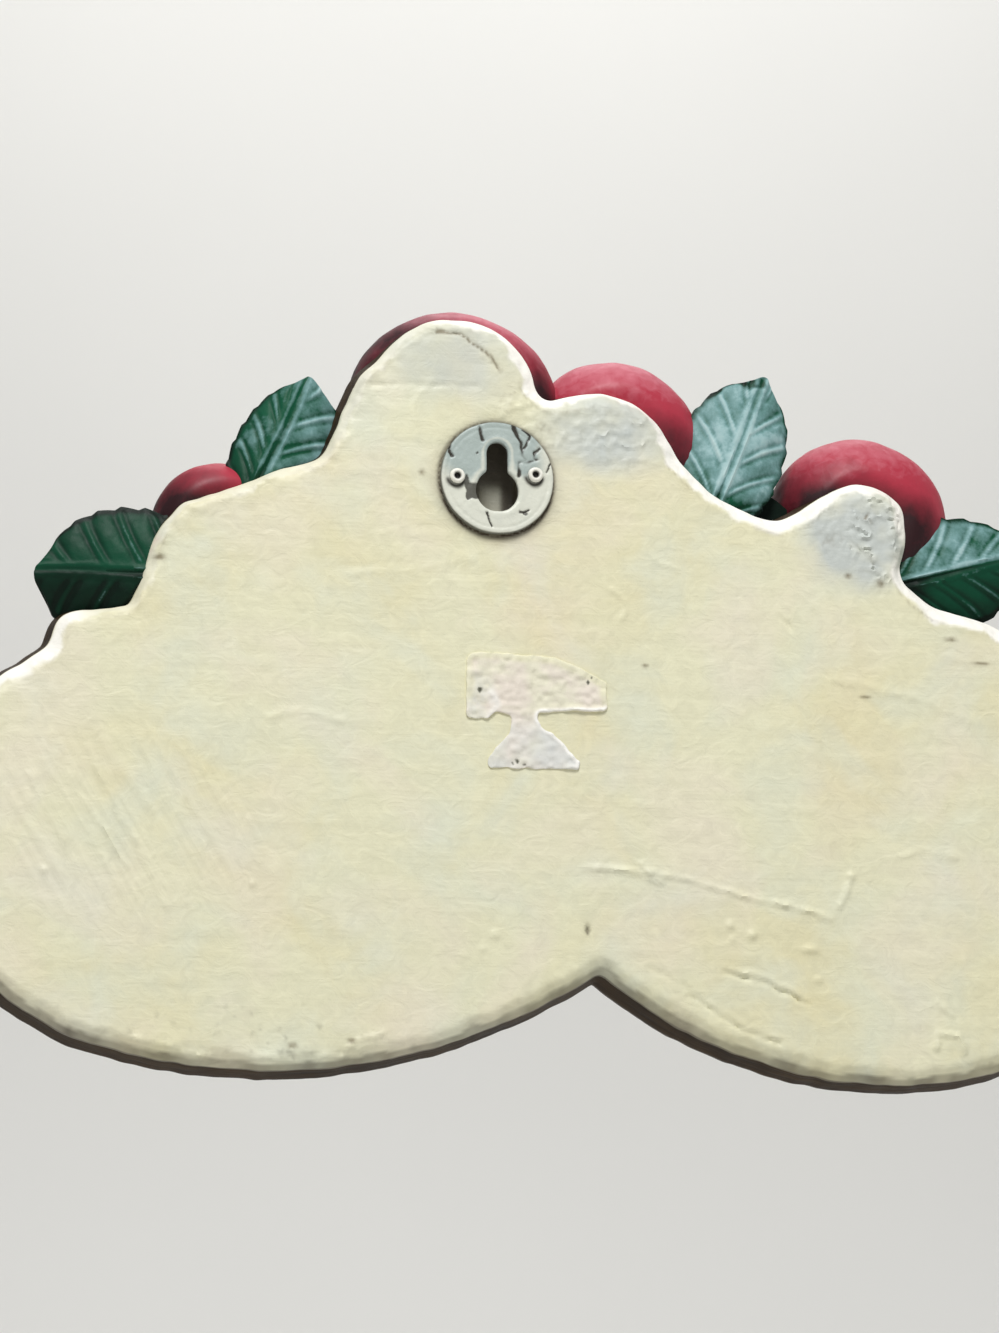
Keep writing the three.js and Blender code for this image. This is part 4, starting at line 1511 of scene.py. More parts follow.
@dataclass
class Apple:
    """A cast apple with its stalk, cut short where it beds into the board."""

    name: str
    x: float
    y: float
    z: float
    radius: float
    seed: int
    lean: float  # degrees that the stalk end leans to the front
    turn: float  # degrees that it then turns to +X
    stalk: float
    glaze_and_shade: float = 0.0  # how far up the dark glaze and painted shade reach from the bottom, as a share of the radius
    blush: float = 0.8  # how strong the rose dry-brushing is, laid on the top as a painted highlight
    tilt: float = 0.0  # how much further up the glaze and painted shade reach on the +X side, away from the light
    node: str = "plaque_casting"
    flatten: float = 0.8
    stalk_radius: float = 1.3

    def placed(self, points: Array) -> Array:
        """Moves points of the upright apple to where it sits.

        Args:
            points: The points, in three dimensions.

        Returns:
            The moved points.
        """
        lean, turn = math.radians(self.lean), math.radians(self.turn)
        x, y, z = points[..., 0], points[..., 1], points[..., 2]
        y, z = y * math.cos(lean) - z * math.sin(lean), y * math.sin(lean) + z * math.cos(lean)
        x, z = x * math.cos(turn) + z * math.sin(turn), z * math.cos(turn) - x * math.sin(turn)
        return np.stack([x + self.x, y * self.flatten + self.y, z + self.z], axis=-1)

    def build_fruit(self, board: Board) -> bpy.types.Object:
        """Builds the fruit: a turned form with dimples at both ends, five faint lobes and a hand-cast skin.

        Args:
            board: The board that it beds into.

        Returns:
            The piece.
        """
        rows, around = 92, 132
        turn = np.linspace(0.03, math.pi - 0.03, rows)[:, None]
        angle = np.linspace(0, 2 * math.pi, around, endpoint=False)[None, :]
        radius = self.radius * 0.992
        lobes = 1 + 0.022 * np.cos(5 * angle) * (np.cos(turn) ** 2)
        out = radius * np.sin(turn) * (1 + 0.05 * np.cos(turn)) * lobes
        dip = 0.26 * bell(turn, 0.42) - 0.13 * bell(math.pi - turn, 0.36)
        up = radius * (0.94 * np.cos(turn) - dip) + 0 * angle
        grid = np.stack([out * np.cos(angle), out * np.sin(angle), up], axis=-1)
        outward = grid / np.linalg.norm(grid, axis=-1, keepdims=True)
        flat = grid.reshape(-1, 3)
        bumps = 0.2 * rough(flat, 9, self.seed) + 0.09 * noise(flat, 2.6, self.seed + 5)
        grid = self.placed(grid + outward * (bumps - 0.12).reshape(rows, around, 1))
        ceiling = board.ceiling(grid[..., [0, 2]].reshape(-1, 2)).reshape(rows, around)
        share = np.clip(0.5 + (ceiling - grid[..., 1]) / 5, 0, 1)
        grid[..., 1] = ceiling * (1 - share) + grid[..., 1] * share - 2.5 * share * (1 - share)
        high = (grid[..., 2] - self.z) / self.radius
        side = (grid[..., 0] - self.x) / self.radius
        # painted shade: darker low on the fruit and on its +X side, away from the light, besides the glaze
        low = step_between(self.glaze_and_shade + self.tilt * side - high, -0.25, 0.75)
        # painted shade where the fruit meets the board
        seam = step_between(grid[..., 1], board.back - 8.5, board.back - 3.0)
        seam = seam * (1 - step_between(high, 0.0, 0.5))
        cloudy = np.clip(0.6 + rough(flat, 12, self.seed + 9), 0, 1).reshape(rows, around)
        brow = bell(grid[..., 1] - self.y, 2.2) * cloudy
        # the -X side, towards the light, is painted a little lighter
        dark = np.clip(0.85 * low + 0.45 * seam + 0.25 * brow - 0.15 * step_between(-side, -0.3, 0.4), 0, 1)
        # painted highlight: rose on the top of the fruit
        light = self.blush * step_between(high, 0.1, 0.9) * (1 - 0.6 * seam) * (1 - 0.5 * brow)
        skin = lofted(list(grid), {"dark": dark, "light": light})
        return make_piece(self.name, skin, AntiquedRed(), self.node)

    def build_stalk(self) -> bpy.types.Object:
        """Builds the stalk, rising from its dimple and bending over to a thick cut end.

        Returns:
            The piece.
        """
        foot, length = self.radius * 0.6, self.stalk
        share = np.linspace(0, 1, 14)[:, None]
        bend = np.array([[0, 0, foot], [0, 0, foot + length * 0.6], [length * 0.35, 0, foot + length]])
        spine = (1 - share) ** 2 * bend[0] + 2 * share * (1 - share) * bend[1] + share**2 * bend[2]
        along = 2 * (1 - share) * (bend[1] - bend[0]) + 2 * share * (bend[2] - bend[1])
        along /= np.linalg.norm(along, axis=1, keepdims=True)
        side = np.tile([0.0, 1.0, 0.0], (len(share), 1))
        other = np.cross(along, side)
        angle = np.linspace(0, 2 * math.pi, 20, endpoint=False)
        thick = self.stalk_radius * (0.78 + 0.1 * share + 0.3 * step_between(share, 0.7, 1.0))
        rings = []
        for i in range(len(share)):
            ridge = 1 + 0.07 * np.cos(4 * angle + i * 0.2)
            ring = side[i] * np.cos(angle)[:, None] + other[i] * np.sin(angle)[:, None]
            rings.append(self.placed(spine[i] + ring * (thick[i] * ridge[:, None])))
        return make_piece(self.name + "_stalk", lofted(rings), StalkBrown(), self.node)


@dataclass
class Leaf:
    """A cast apple leaf, folded along a double midrib, with a toothed edge and side veins."""

    name: str
    root: tuple[float, float]
    tip: tuple[float, float]
    left: float  # width of its left half, as seen from behind with the tip up
    right: float
    seed: int
    y: float
    tip_y: float
    teal: tuple[float, float]  # dry-brushed share on the left and the right half, partly a painted sheen on a half that faces up
    # share of painted shade on the left and the right half, most on a half that faces down
    dark: tuple[float, float]
    bedded: bool = False  # lies on the front of the board
    blunt: tuple[float, float] = (0.72, 0.72)  # left and right half, lower for a rounder tip
    slant: float = 0.2  # how far the side veins sweep forward
    pitted: float = 0.0  # dark hollows near the tip
    node: str = "plaque_casting"
    thickness: float = 3.2
    fold: float = 3.6
    veins: int = 6
    teeth: int = 14
    columns: int = 61
    rows: int = 168
    rib_height: float = 0.6
    groove_depth: float = 0.5  # between the two ribs
    vein_height: float = 0.28
    furrow_depth: float = 0.14
    swell_height: float = 0.75  # of the skin between two veins

    def blade(self, share: Array, blunt: float) -> Array:
        """Works out half the width of the blade over its greatest.

        Args:
            share: Place along the blade, from the root at 0 to the tip at 1.
            blunt: How fast it narrows to the tip.

        Returns:
            The width at each place.
        """
        widest = 1 / (1 + 2 * blunt)
        top = math.sqrt(widest + 0.02) * (1 - widest * 0.985) ** blunt
        return np.sqrt(share + 0.02) * (1 - share * 0.985) ** blunt / top

    def relief(self, across: Array, u: Array, share: Array, length: float) -> dict[str, Array]:
        """Finds the ribs, the veins and the swollen skin between them.

        Args:
            across: Distance of each point from the middle of the leaf.
            u: The same as a share of the width, from 1 on the left to -1.
            share: Place along the leaf.
            length: The leaf's length.

        Returns:
            How far each form has risen at each point, from 0 to 1.
        """
        fade = 1 - 0.6 * share
        wave = 0.6 * np.sin(share * 7 + self.seed)
        rib = bell(np.abs(across - wave * 0.4) - 1.05, 0.5) * fade
        groove = bell(across - wave * 0.4, 0.55) * fade
        phase = (share - self.slant * np.abs(u) * (1 - 0.3 * np.abs(u))) * self.veins + 0.25 * (u > 0)
        off = np.abs(phase - np.round(phase)) / self.veins * length
        side = step_between(np.abs(across), 1.4, 2.8) * (1 - np.abs(u) ** 5)
        vein = bell(off, 0.62) * side
        furrow = bell(off - 1.35, 0.6) * side
        swell = np.sin(math.pi * phase) ** 2 * np.abs(u) * (1 - np.abs(u) ** 3) * side
        return {"rib": rib, "groove": groove, "vein": vein, "furrow": furrow, "swell": swell}

    def marks(self, form: dict[str, Array], u: Array, share: Array, bumps: Array) -> dict[str, Array]:
        """Works out where the teal is dragged over the leaf, partly as painted sheen, and where it is dark,
        with painted shade in the folds, at the foot and on a shaded half.

        Args:
            form: What relief gives.
            u: Place across the leaf, from 1 on the left to -1.
            share: Place along the leaf.
            bumps: Unevenness of the casting.

        Returns:
            Both values at each point of the back.
        """
        left = np.where(u > 0, 1.0, 0.0)
        rim = step_between(np.abs(u), 0.86, 1.0)
        gap = 1 - form["swell"] - form["vein"]
        hollow = self.pitted * step_between(share, 0.68, 0.9) * step_between(bumps, 0.0, 0.35)
        # foot: painted shade where the leaf comes out from behind the board
        foot = 0.6 * (1 - step_between(share, 0.12, 0.4)) * (not self.bedded)
        teal = self.teal[0] * left + self.teal[1] * (1 - left) + 0.6 * form["rib"] + 0.42 * form["vein"]
        teal = teal + 0.12 * form["swell"] - 0.35 * form["groove"] - 0.45 * rim + 0.3 * bumps
        teal = teal - 1.2 * hollow - foot - 0.2 * form["furrow"]
        # dark: the half's own share of painted shade, with painted shade between the veins, in the groove and
        # furrows, and darker along the edge
        dark = self.dark[0] * left + self.dark[1] * (1 - left) + 0.25 * gap * np.abs(u)
        dark = dark + 0.5 * form["groove"] + 0.55 * rim + 0.2 * form["furrow"] + hollow + foot
        return {"teal": teal, "dark": dark}

    def build(self, bed: float) -> bpy.types.Object:
        """Builds the leaf as a closed skin of back and front.

        Args:
            bed: How far back a leaf that lies on the board is filled.

        Returns:
            The piece.
        """
        run = np.array(self.tip) - np.array(self.root)
        length = float(np.linalg.norm(run))
        u = np.sin(np.linspace(1, -1, self.columns) * math.pi / 2)[None, :]
        share = np.linspace(0, 1, self.rows)[:, None]
        blade = np.where(u > 0, self.blade(share, self.blunt[0]), self.blade(share, self.blunt[1]))
        saw = (share * (self.teeth + 0.5) / 2) % 1
        tooth = np.where(saw < 0.75, saw / 0.75, (1 - saw) / 0.25)
        reach = blade * (1 + 0.05 * (tooth - 0.5) * np.abs(u) ** 6)
        across = reach * u * np.where(u > 0, self.left, self.right)
        forward = length * (share + 0.06 * np.abs(u) * blade * (1 - share) - 0.07 * u**2 * share**8)
        spine = self.y + (self.tip_y - self.y) * share**2
        smooth = spine - self.fold * blade * np.abs(u) ** 1.5
        form = self.relief(across, u, share, length)
        bumps = rough(np.stack([across, forward], axis=-1).reshape(-1, 2), 5, self.seed).reshape(across.shape)
        inside = step_between(1.0 - np.abs(u), 0.0, 0.12)
        lift = self.rib_height * form["rib"] - self.groove_depth * form["groove"]
        lift = lift + self.vein_height * form["vein"] - self.furrow_depth * form["furrow"]
        lift = lift + self.swell_height * form["swell"] + 0.3 * bumps
        back = np.full_like(smooth, bed) if self.bedded else smooth + lift * inside
        front = smooth - self.thickness * (1 - 0.6 * u**2) + 0.4 * bell(across, 1.2)
        front = front - 0.4 * form["vein"] - 0.3 * form["swell"] * inside
        angle = math.atan2(run[0], run[1])
        x = across * math.cos(angle) + forward * math.sin(angle) + self.root[0]
        z = forward * math.cos(angle) - across * math.sin(angle) + self.root[1]
        sides = [np.stack([x, y, z], axis=-1) for y in (back, front)]
        rings = np.concatenate([sides[0], sides[1][:, ::-1]], axis=1)
        marks = self.marks(form, u, share, bumps)
        marks = {name: np.concatenate([value, value[:, ::-1]], axis=1) for name, value in marks.items()}
        return make_piece(self.name, lofted(list(rings), marks), DryBrushedGreen(), self.node, sharp=60)


@dataclass
class Hanger:
    """The round keyhole plate and the two hollow rivets that hold it."""

    plate: str = "hanger_plate"
    rivets: tuple[str, ...] = ("hanger_rivet_left", "hanger_rivet_right")
    slot_half: float = 2.35
    slot_top: float = -2.5
    entry_radius: float = 4.75
    entry_z: float = -13.4
    edge_round: float = 0.7
    cracks: tuple[Stroke, ...] = (
        Stroke(((4.0, 1.0), (3.8, 0.6), (3.6, -1.0), (3.1, -2.2)), 0.42, -0.3),
        Stroke(((-3.4, 1.7), (-4.5, -1.2), (-5.6, -3.8), (-6.5, -5.9)), 0.46, -0.34),
        Stroke(((-5.3, 0.8), (-7.1, -0.3), (-6.6, -2.2), (-6.0, -3.6)), 0.28, -0.3),
        Stroke(((-9.6, -3.5), (-8.6, -4.2), (-8.5, -5.5), (-9.1, -6.1)), 0.36, -0.3),
        Stroke(((-6.4, -6.2), (-5.0, -7.2), (-4.8, -9.6)), 0.5, -0.22),
        Stroke(((-5.2, -7.2), (-7.0, -6.6), (-8.3, -6.2)), 0.55, -0.22),
        Stroke(((-12.3, -5.9), (-11.6, -7.0), (-11.2, -8.6)), 0.32, -0.3),
        Stroke(((11.2, -4.8), (10.2, -6.1)), 0.34, -0.3),
        Stroke(((7.9, -0.8), (9.8, -2.4), (11.4, -4.4)), 0.3, -0.3),
        Stroke(((2.6, -18.6), (2.2, -20.1), (1.2, -21.8)), 0.3, -0.3),
        Stroke(((-4.7, -18.0), (-5.6, -18.1), (-7.0, -17.7)), 0.34, -0.2),
    )
    flaked: tuple[Dab, ...] = (
        Dab(5.6, -13.0, 1.5, 1.3),
        Dab(5.0, -14.4, 1.2, 1.3),
        Dab(6.6, -15.2, 0.6, 1.1),
        Dab(6.9, -11.4, 0.5, 1.3),
        Dab(4.5, -5.2, 0.4, 0.35),
        Dab(-6.2, -18.4, 0.6, 0.4),
    )
    cool_spots: tuple[tuple[float, Spot], ...] = (
        (1.0, ((5.5, -5), (9, 8))),
        (1.1, ((-2, -1.5), (10, 6))),
        (0.8, ((-6, -7), (5, 4))),
    )

    def keyhole(self) -> Loop:
        """Draws the hole: a round entry with a slot above it.

        Returns:
            The outline.
        """
        meet = math.acos(self.slot_half / self.entry_radius)
        drawn = Outline().arc(0, self.slot_top - self.slot_half, self.slot_half, 0, math.pi)
        drawn.arc(0, self.entry_z, self.entry_radius, math.pi - meet, 2 * math.pi + meet)
        return drawn.loop(0.22, 0.35)

    def metal(self, flat: Array) -> tuple[Array, Array]:
        """Cracks and flakes the paint, and paints a dark crescent of shadow under each rivet.

        Args:
            flat: Points of the plate, as x and z.

        Returns:
            The height that this adds, and how bare and dark each point is.
        """
        rise = 0.09 * rough(flat, 4, 5) + 0.03 * noise(flat, 1.2, 6) - 0.08
        dark = np.zeros(len(flat))
        waver = np.stack([noise(flat, 1.1, 7), noise(flat, 1.1, 8)], axis=1)
        for line in self.cracks:
            cut = line.relief(flat + 0.25 * waver)
            rise += cut
            dark = np.maximum(dark, step_between(-cut / -line.height, 0.25, 0.8))
        bare = np.sum([dab.share(flat) for dab in self.flaked], axis=0)
        bare = step_between(bare + 0.2 * noise(flat, 1.1, 9), 0.42, 0.6)
        dark = np.maximum(dark, 0.9 * bare)
        # painted shadow: a dark crescent under each rivet's head
        for rivet in self.rivets:
            centre, radius = middle(rivet)
            off = np.linalg.norm(flat - centre - (0.15, -0.3), axis=1) - radius - 0.15
            dark = np.maximum(dark, bell(off, 0.5) * step_between(centre[1] - flat[:, 1], -0.3, 0.9))
        return rise - 0.2 * bare, dark

    def build_plate(self) -> bpy.types.Object:
        """Builds the pressed plate, its thick paint crazed and flaked.

        Returns:
            The piece.
        """
        low, high = corners(self.plate)
        centre, radius = middle(self.plate)
        rim = Outline().arc(*centre, radius, 0, 2 * math.pi).loop(0.25, 0)
        rim = rim.moved(-0.08 - 0.08 * rough(rim.points, 4, 3))
        hole = self.keyhole()
        hole = hole.moved(0.1 * rough(hole.points, 2.5, 4))
        rings = ((0.06, 0.25), (0.16, 0.25), (0.32, 0.25), (0.5, 0.28))
        flat, triangles, rims = filled([rim, hole], 0.23, rings, seed=3)
        depth = depth_in(flat, [rim, hole])
        rise, dark = self.metal(flat)
        lip = bell(depth_in(flat, [hole]) - 0.9, 0.6)
        from_rim = depth_in(flat, [rim])
        rise = rise + 0.1 * lip - 0.1 * bell(from_rim - 1.25, 0.35)
        drop = rounded(depth, self.edge_round, 0.5)
        height = float(high[1]) - drop + np.minimum(rise, 0.02) * step_between(depth, 0, 0.5)
        skin = Skin()
        numbers = skin.cover(flat, height, triangles)
        cool = sum(much * patch(flat, *spot) for much, spot in self.cool_spots)
        cool = cool * (1 - 0.8 * lip) * (1 - 0.7 * step_between(-flat[:, 1], 12, 20))
        # painted shade: a dark line along the plate's rim
        skin.mark(crack_and_shadow=np.maximum(dark, 0.8 * bell(from_rim, 0.16)), cool=np.clip(cool, 0, 1))
        under = skin.cover(flat, float(low[1]), triangles)
        for edge in rims:
            skin.band(numbers[edge], under[edge])
        skin.mark(crack_and_shadow=0.6, cool=0.5)
        return make_piece("hanger_plate_painted", skin, PaintedSteel(), self.plate)

    def build_rivet(self, node: str) -> bpy.types.Object:
        """Builds a hollow rivet: a domed ring round a dark bore, on a shank that runs into the casting.

        Args:
            node: The rivet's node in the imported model.

        Returns:
            The piece.
        """
        low, high = corners(node)
        (x, z), radius = middle(node)
        top = float(high[1])
        head = ((0.97, 0.79), (1, 0.62), (0.97, 0.38), (0.86, 0.13), (0.7, 0.01))
        head += ((0.55, 0.06), (0.42, 0.28), (0.33, 0.62), (0.26, 0.92))
        profile = [(0.05, low[1]), (0.8, low[1]), (0.8, top - 0.8)]
        profile += [(radius * out, top - down) for out, down in head]
        profile.append((0.05, top - 0.98))
        angle = np.linspace(0, 2 * math.pi, 44, endpoint=False)
        circle = np.stack([np.cos(angle), np.sin(angle)], axis=1)
        rings = []
        for out, y in profile:
            wide = out * (1 + 0.03 * noise(circle + x, 0.8, 12))
            ring = [x + wide * np.cos(angle), np.full_like(angle, y), z + wide * np.sin(angle)]
            rings.append(np.stack(ring, axis=1))
        dark = np.array([1, 1, 0.9, 0.7, 0.15, 0, 0, 0, 0.1, 0.75, 1, 1, 1.0])
        dark = np.repeat(dark[:, None], len(angle), axis=1)
        skin = lofted(rings, {"crack_and_shadow": dark, "cool": 0 * dark})
        return make_piece(node + "_painted", skin, RivetSteel(), node)

    def build(self) -> None:
        """Builds the plate and both rivets."""
        self.build_plate()
        for rivet in self.rivets:
            self.build_rivet(rivet)


@dataclass
class Label:
    """What is left of a torn paper label, painted over with the back."""

    node: str = "label_remnant"
    band: float = -61.4  # height of the lower edge of its upper part
    worn_end: Spot = ((4, -59), (4.5, 6))
    tears: tuple[Stroke, ...] = (
        Stroke(((-9.6, -63.6), (-10.6, -65.6), (-13.6, -67.6), (-16.8, -70.9), (-18.0, -73.4)), 1.6, 1.0),
        Stroke(((-24.4, -61.6), (-18.0, -61.9), (-10.0, -62.6)), 1.0, 1.0),
        Stroke(((1.4, -58.6), (-0.2, -61.4), (1.5, -64.0)), 0.8, 1.0),
    )
    pinholes: tuple[Dab, ...] = (
        Dab(3.6, -58.0, 0.7, 0.8),
        Dab(-4.5, -73.3, 0.6, 0.7),
        Dab(-3.6, -73.9, 0.35, 0.4),
        Dab(-6.2, -74.0, 0.4, 0.4),
        Dab(-20.4, -55.4, 0.5, 0.8),
        Dab(-21.2, -54.4, 0.4, 0.3),
    )

    def outline(self, low: Array, high: Array) -> Loop:
        """Draws a band across the top, a neck under it and a spreading foot.

        Args:
            low: Lowest corner of the label's node.
            high: Its highest corner.

        Returns:
            The outline.
        """
        left, right, top, bottom = high[0], low[0], high[2], low[2]
        drawn = Outline().straight(((right, top - 6), (right, self.band + 0.4), (right + 1, self.band - 0.3)))
        drawn.through(((-18, self.band - 0.6), (-9.4, self.band - 1.4)))
        drawn.through(((-10.1, -65.3), (-13.3, -67.3), (-16.6, -70.7), (-18.9, -72.9)))
        drawn.straight(((-18.6, bottom + 0.1), (1.6, bottom + 0.1), (2.2, -73.6)))
        drawn.through(((0.8, -71.2), (-2.6, -67.4), (-3.2, -63.6)))
        drawn.through(((0, self.band - 1.4), (1.8, -64.2), (left - 0.6, -64.4)))
        drawn.straight(((left, -63.8), (left, top - 2.4), (left - 0.8, top - 0.7), (left - 2.6, top)))
        drawn.straight(((-12, top - 0.4), (-18, top - 2.4)))
        return drawn.loop(0.3, 0.4)

    def torn(self, flat: Array, depth: Array) -> Array:
        """Finds the raised white lips of the tears, their white partly torn fibre and partly a painted
        highlight.

        Args:
            flat: Points of the label, as x and z.
            depth: Their distance from its edge.

        Returns:
            How far each point belongs to a lip.
        """
        diagonal, across, corner = (stroke.share(flat) for stroke in self.tears)
        lip = 1.4 * bell(depth - 0.5, 0.42) * np.maximum(np.maximum(diagonal, across), 0.1)
        return np.maximum(lip, 0.6 * corner)

    def build(self) -> bpy.types.Object:
        """Builds the paper as a thin sheet with creases, raised torn edges and dark pinholes.

        Returns:
            The piece.
        """
        low, high = corners(self.node)
        edge = self.outline(low, high)
        edge = edge.moved(np.minimum(-0.2 + 0.3 * rough(edge.points, 2.2, 15), 0.0))
        flat, triangles, rims = filled([edge], 0.38, ((0.1, 0.35), (0.3, 0.4)), seed=4)
        depth = depth_in(flat, [edge])
        creased = 0.12 * rough(flat, 4, 16) + 0.26 * np.abs(noise(flat, (2.4, 1.8), 17))
        creased = creased + 0.2 * noise(flat, 1.2, 18)
        lip = self.torn(flat, depth)
        pit = np.maximum.reduce([pin.share(flat) for pin in self.pinholes])
        height = high[1] - 0.14 + creased + 0.32 * lip - 0.3 * pit
        height = np.maximum(height - rounded(depth, 0.35, 0.15), low[1] + 0.05)
        blended = step_between(flat[:, 1], self.band - 1, self.band + 3)
        blended = blended * (1 - step_between(depth, 0.3, 2.2)) * (0.9 + 0.6 * rough(flat, 3, 24))
        grey = step_between(-flat[:, 1], 62, 67) * np.clip(0.7 + 0.6 * rough(flat, 6, 19), 0, 1)
        worn = 0.6 * patch(flat, *self.worn_end) * np.clip(0.7 + 0.9 * rough(flat, 2, 22), 0, 1)
        fleck = step_between(pit + 0.2 * noise(flat, 0.8, 20), 0.4, 0.75)
        skin = Skin()
        numbers = skin.cover(flat, height, triangles)
        grey = np.maximum(grey, worn)
        skin.mark(grey=grey, fleck=fleck, lip=np.clip(lip, 0, 1), cream=np.clip(blended, 0, 1))
        under = skin.cover(flat, low[1] - 0.4, triangles)
        skin.band(numbers[rims[0]], under[rims[0]])
        skin.mark(cream=1.0)
        return make_piece("label_paper", skin, LabelPaper(), self.node)


@dataclass
class Plaque:
    """The whole plaque, built from the board outwards."""

    board: Board = field(default_factory=Board)
    hanger: Hanger = field(default_factory=Hanger)
    label: Label = field(default_factory=Label)

    def apples(self) -> list[Apple]:
        """Lists the apples.

        Returns:
            The four along the top edge and the two low on the front.
        """
        small = {"lean": 34, "turn": 24, "stalk": 7, "glaze_and_shade": 0.85, "blush": 0.05, "tilt": 0.2}
        big = {"lean": 30, "turn": -10, "stalk": 10, "glaze_and_shade": 1.05, "blush": 0.4, "tilt": 0.4}
        inner = {"lean": 26, "turn": -32, "stalk": 8, "glaze_and_shade": 0.34, "blush": 0.4, "tilt": 0.2}
        outer = {"lean": 32, "turn": -18, "stalk": 9, "glaze_and_shade": 0.52, "blush": 0.28, "tilt": 0.35}
        return [
            Apple("apple_small", 60.2, -13.5, -21.3, 14.2, 201, **small),
            Apple("apple_big", 6.9, -17, 7.6, 24.4, 202, **big),
            Apple("apple_middle", -30.4, -17.6, 2.3, 20.5, 203, **inner),
            Apple("apple_outer", -88, -18, -12.9, 21.1, 204, **outer),
            Apple("apple_front_large", 72, -23.5, -62, 20, 205, lean=40, turn=28, stalk=8),
            Apple("apple_front_small", 40, -20.5, -48, 15, 206, lean=46, turn=-20, stalk=6),
        ]

    def leaves(self) -> list[Leaf]:
        """Lists the leaves.

        Returns:
            The four that stand past the top edge and the six that lie on the front.
        """
        lying = {"y": -13.6, "tip_y": -14.5, "bedded": True, "rows": 110, "columns": 41}
        shaded = {"teal": (0.0, 0.0), "dark": (0.8, 0.8), **lying}
        plain = {"teal": (0.15, 0.15), "dark": (0.1, 0.1), **lying}
        # the teal and dark of each half stand partly for painted sheen on halves facing up and painted shade
        # on halves facing down: leaf 1's and leaf 4's lower halves are shaded, leaf 3 and leaf 4's upper half
        # pale
        one = {"teal": (-0.2, -0.02), "dark": (0.66, 0.28), "blunt": (0.34, 0.6), "veins": 5}
        two = {"teal": (0.3, 0.55), "dark": (0.0, 0.0), "blunt": (0.66, 0.36), "slant": 0.4, "veins": 5}
        three = {"teal": (0.8, 0.78), "dark": (-0.2, -0.2), "blunt": (0.56, 0.56), "slant": 0.4, "veins": 5}
        four = {"teal": (0.62, -0.05), "dark": (-0.1, 0.35), "slant": 0.36}
        return [
            Leaf("leaf_1", (60, -35), (99.5, -34.6), 12.5, 15, 301, y=-3.6, tip_y=-7, **one),
            Leaf("leaf_2", (55.5, -21), (41, 12), 8.6, 12.5, 302, y=-4.4, tip_y=-7, **two),
            Leaf("leaf_3", (-47.5, -20), (-64, 18.8), 12.5, 12, 303, y=-4.4, tip_y=-8, pitted=1.0, **three),
            Leaf("leaf_4", (-86, -31), (-128, -19), 13.5, 13.5, 304, y=-4.6, tip_y=-8, **four),
            Leaf("leaf_front_1", (-62, -8), (-70, -52), 11, 11, 305, **shaded),
            Leaf("leaf_front_2", (-47, -2), (-40, -48), 11, 11, 306, **plain),
            Leaf("leaf_front_3", (-6, -8), (-8, -50), 11, 11, 307, **plain),
            Leaf("leaf_front_4", (36, -48), (13, -82), 11, 11, 308, **plain),
            Leaf("leaf_front_5", (68, -66), (50, -108), 12, 12, 309, **plain),
            Leaf("leaf_front_6", (78, -64), (105, -97), 11.5, 11.5, 310, **plain),
        ]

    def build(self) -> None:
        """Builds every piece in order."""
        self.board.build_back()
        self.board.build_front()
        for apple in self.apples():
            apple.build_fruit(self.board)
            apple.build_stalk()
        for leaf in self.leaves():
            leaf.build(self.board.front + self.board.field_depth + 0.6)
        self.hanger.build()
        self.label.build()


# ---------- studio ----------


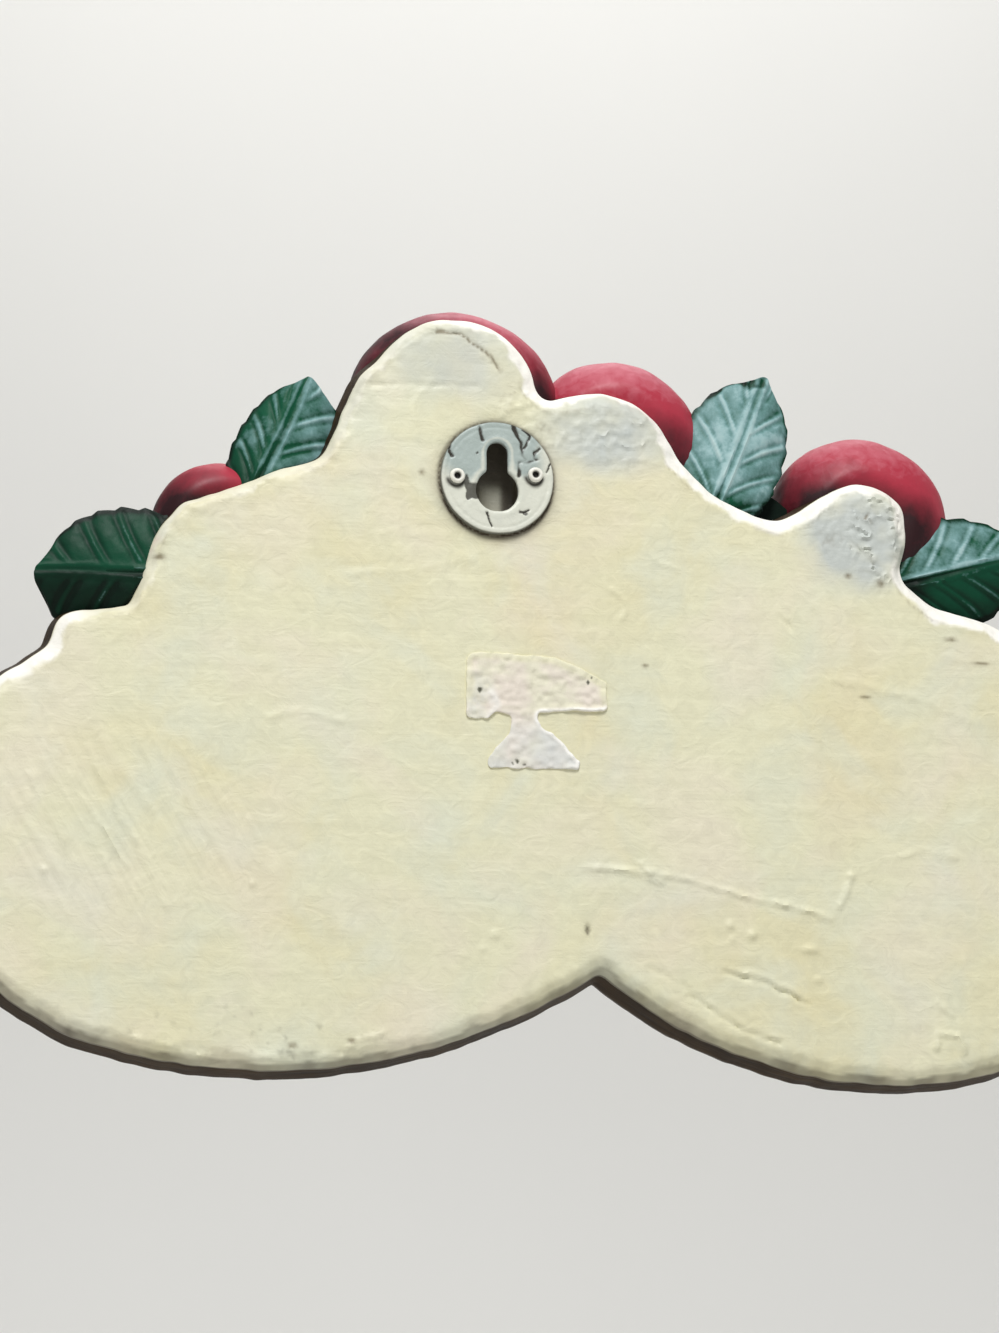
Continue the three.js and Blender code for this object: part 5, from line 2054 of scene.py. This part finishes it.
@dataclass
class Studio:
    """Pale floor and far sweep, soft light from above and behind, and the camera."""

    floor: float = -0.46
    depth: float = 2.6
    half_width: float = 4.0
    bend: float = 0.7
    behind: float = 3.2  # how far the floor runs on the camera's side, and how high the wall is
    camera_from: tuple[float, float, float] = (0.14196, 0.66970, -0.19844)
    camera_to: tuple[float, float, float] = (-0.0004, 0.0, -0.0529)
    field_of_view: float = 23.29  # along the long side, in degrees

    def stage(self) -> None:
        """The floor, which bends up into a wall far in front of the plaque's decorated side."""
        curve = [(self.behind, self.floor), (-self.depth + self.bend, self.floor)]
        for angle in np.linspace(0, math.pi / 2, 13)[1:]:
            y = -self.depth + self.bend - self.bend * math.sin(angle)
            curve.append((y, self.floor + self.bend - self.bend * math.cos(angle)))
        curve.append((-self.depth, self.floor + self.behind))
        points, faces = [], []
        for i, (y, z) in enumerate(curve):
            points += [(-self.half_width, y, z), (self.half_width, y, z)]
            if i:
                faces.append((2 * i - 2, 2 * i - 1, 2 * i + 1, 2 * i))
        mesh = bpy.data.meshes.new("studio_sweep")
        mesh.from_pydata(points, [], faces)
        mesh.shade_smooth()
        mesh.materials.append(StudioPaper().material())
        sweep = bpy.data.objects.new("studio_sweep", mesh)
        bpy.context.scene.collection.objects.link(sweep)

    def lamp(self, name: str, spot: Sequence[float], aim: Sequence[float], size: float, power: float) -> None:
        """Adds a square softbox.

        Args:
            name: Its name.
            spot: Where it stands.
            aim: Where it points.
            size: Its width in metres.
            power: Its power in watts.
        """
        light = bpy.data.lights.new(name, "AREA")
        light.size = size
        light.energy = power
        made = bpy.data.objects.new(name, light)
        made.location = spot
        made.rotation_euler = (Vector(aim) - Vector(spot)).to_track_quat("-Z", "Y").to_euler()
        bpy.context.scene.collection.objects.link(made)

    def build(self) -> None:
        """Sets up the stage, the lights, the surroundings and the camera."""
        self.stage()
        self.lamp("key_softbox", (0.15, 0.85, 1.05), (0, 0, -0.05), 0.42, 17.2)
        self.lamp("wall_softbox", (-0.5, -1.35, 2.4), (-0.5, -2.6, 0.8), 1.6, 35.0)
        world = bpy.data.worlds.new("studio")
        world.use_nodes = True
        world.node_tree.nodes.clear()
        sky = add(world.node_tree, "Background", {"Color": srgb("#F2F3F4"), "Strength": 0.38})
        world.node_tree.links.new(sky, world.node_tree.nodes.new("ShaderNodeOutputWorld").inputs["Surface"])
        bpy.context.scene.world = world
        bpy.context.scene.view_settings.view_transform = "Standard"
        camera = bpy.data.cameras.new("camera")
        camera.angle = math.radians(self.field_of_view)
        made = bpy.data.objects.new("camera", camera)
        made.location = self.camera_from
        aim = Vector(self.camera_to) - Vector(self.camera_from)
        made.rotation_euler = aim.to_track_quat("-Z", "Y").to_euler()
        bpy.context.scene.collection.objects.link(made)
        bpy.context.scene.camera = made


def main() -> None:
    """Builds the studio and the plaque."""
    logging.basicConfig(level=logging.INFO, format="%(message)s")
    Studio().build()
    Plaque().build()


if __name__ == "__main__":
    main()
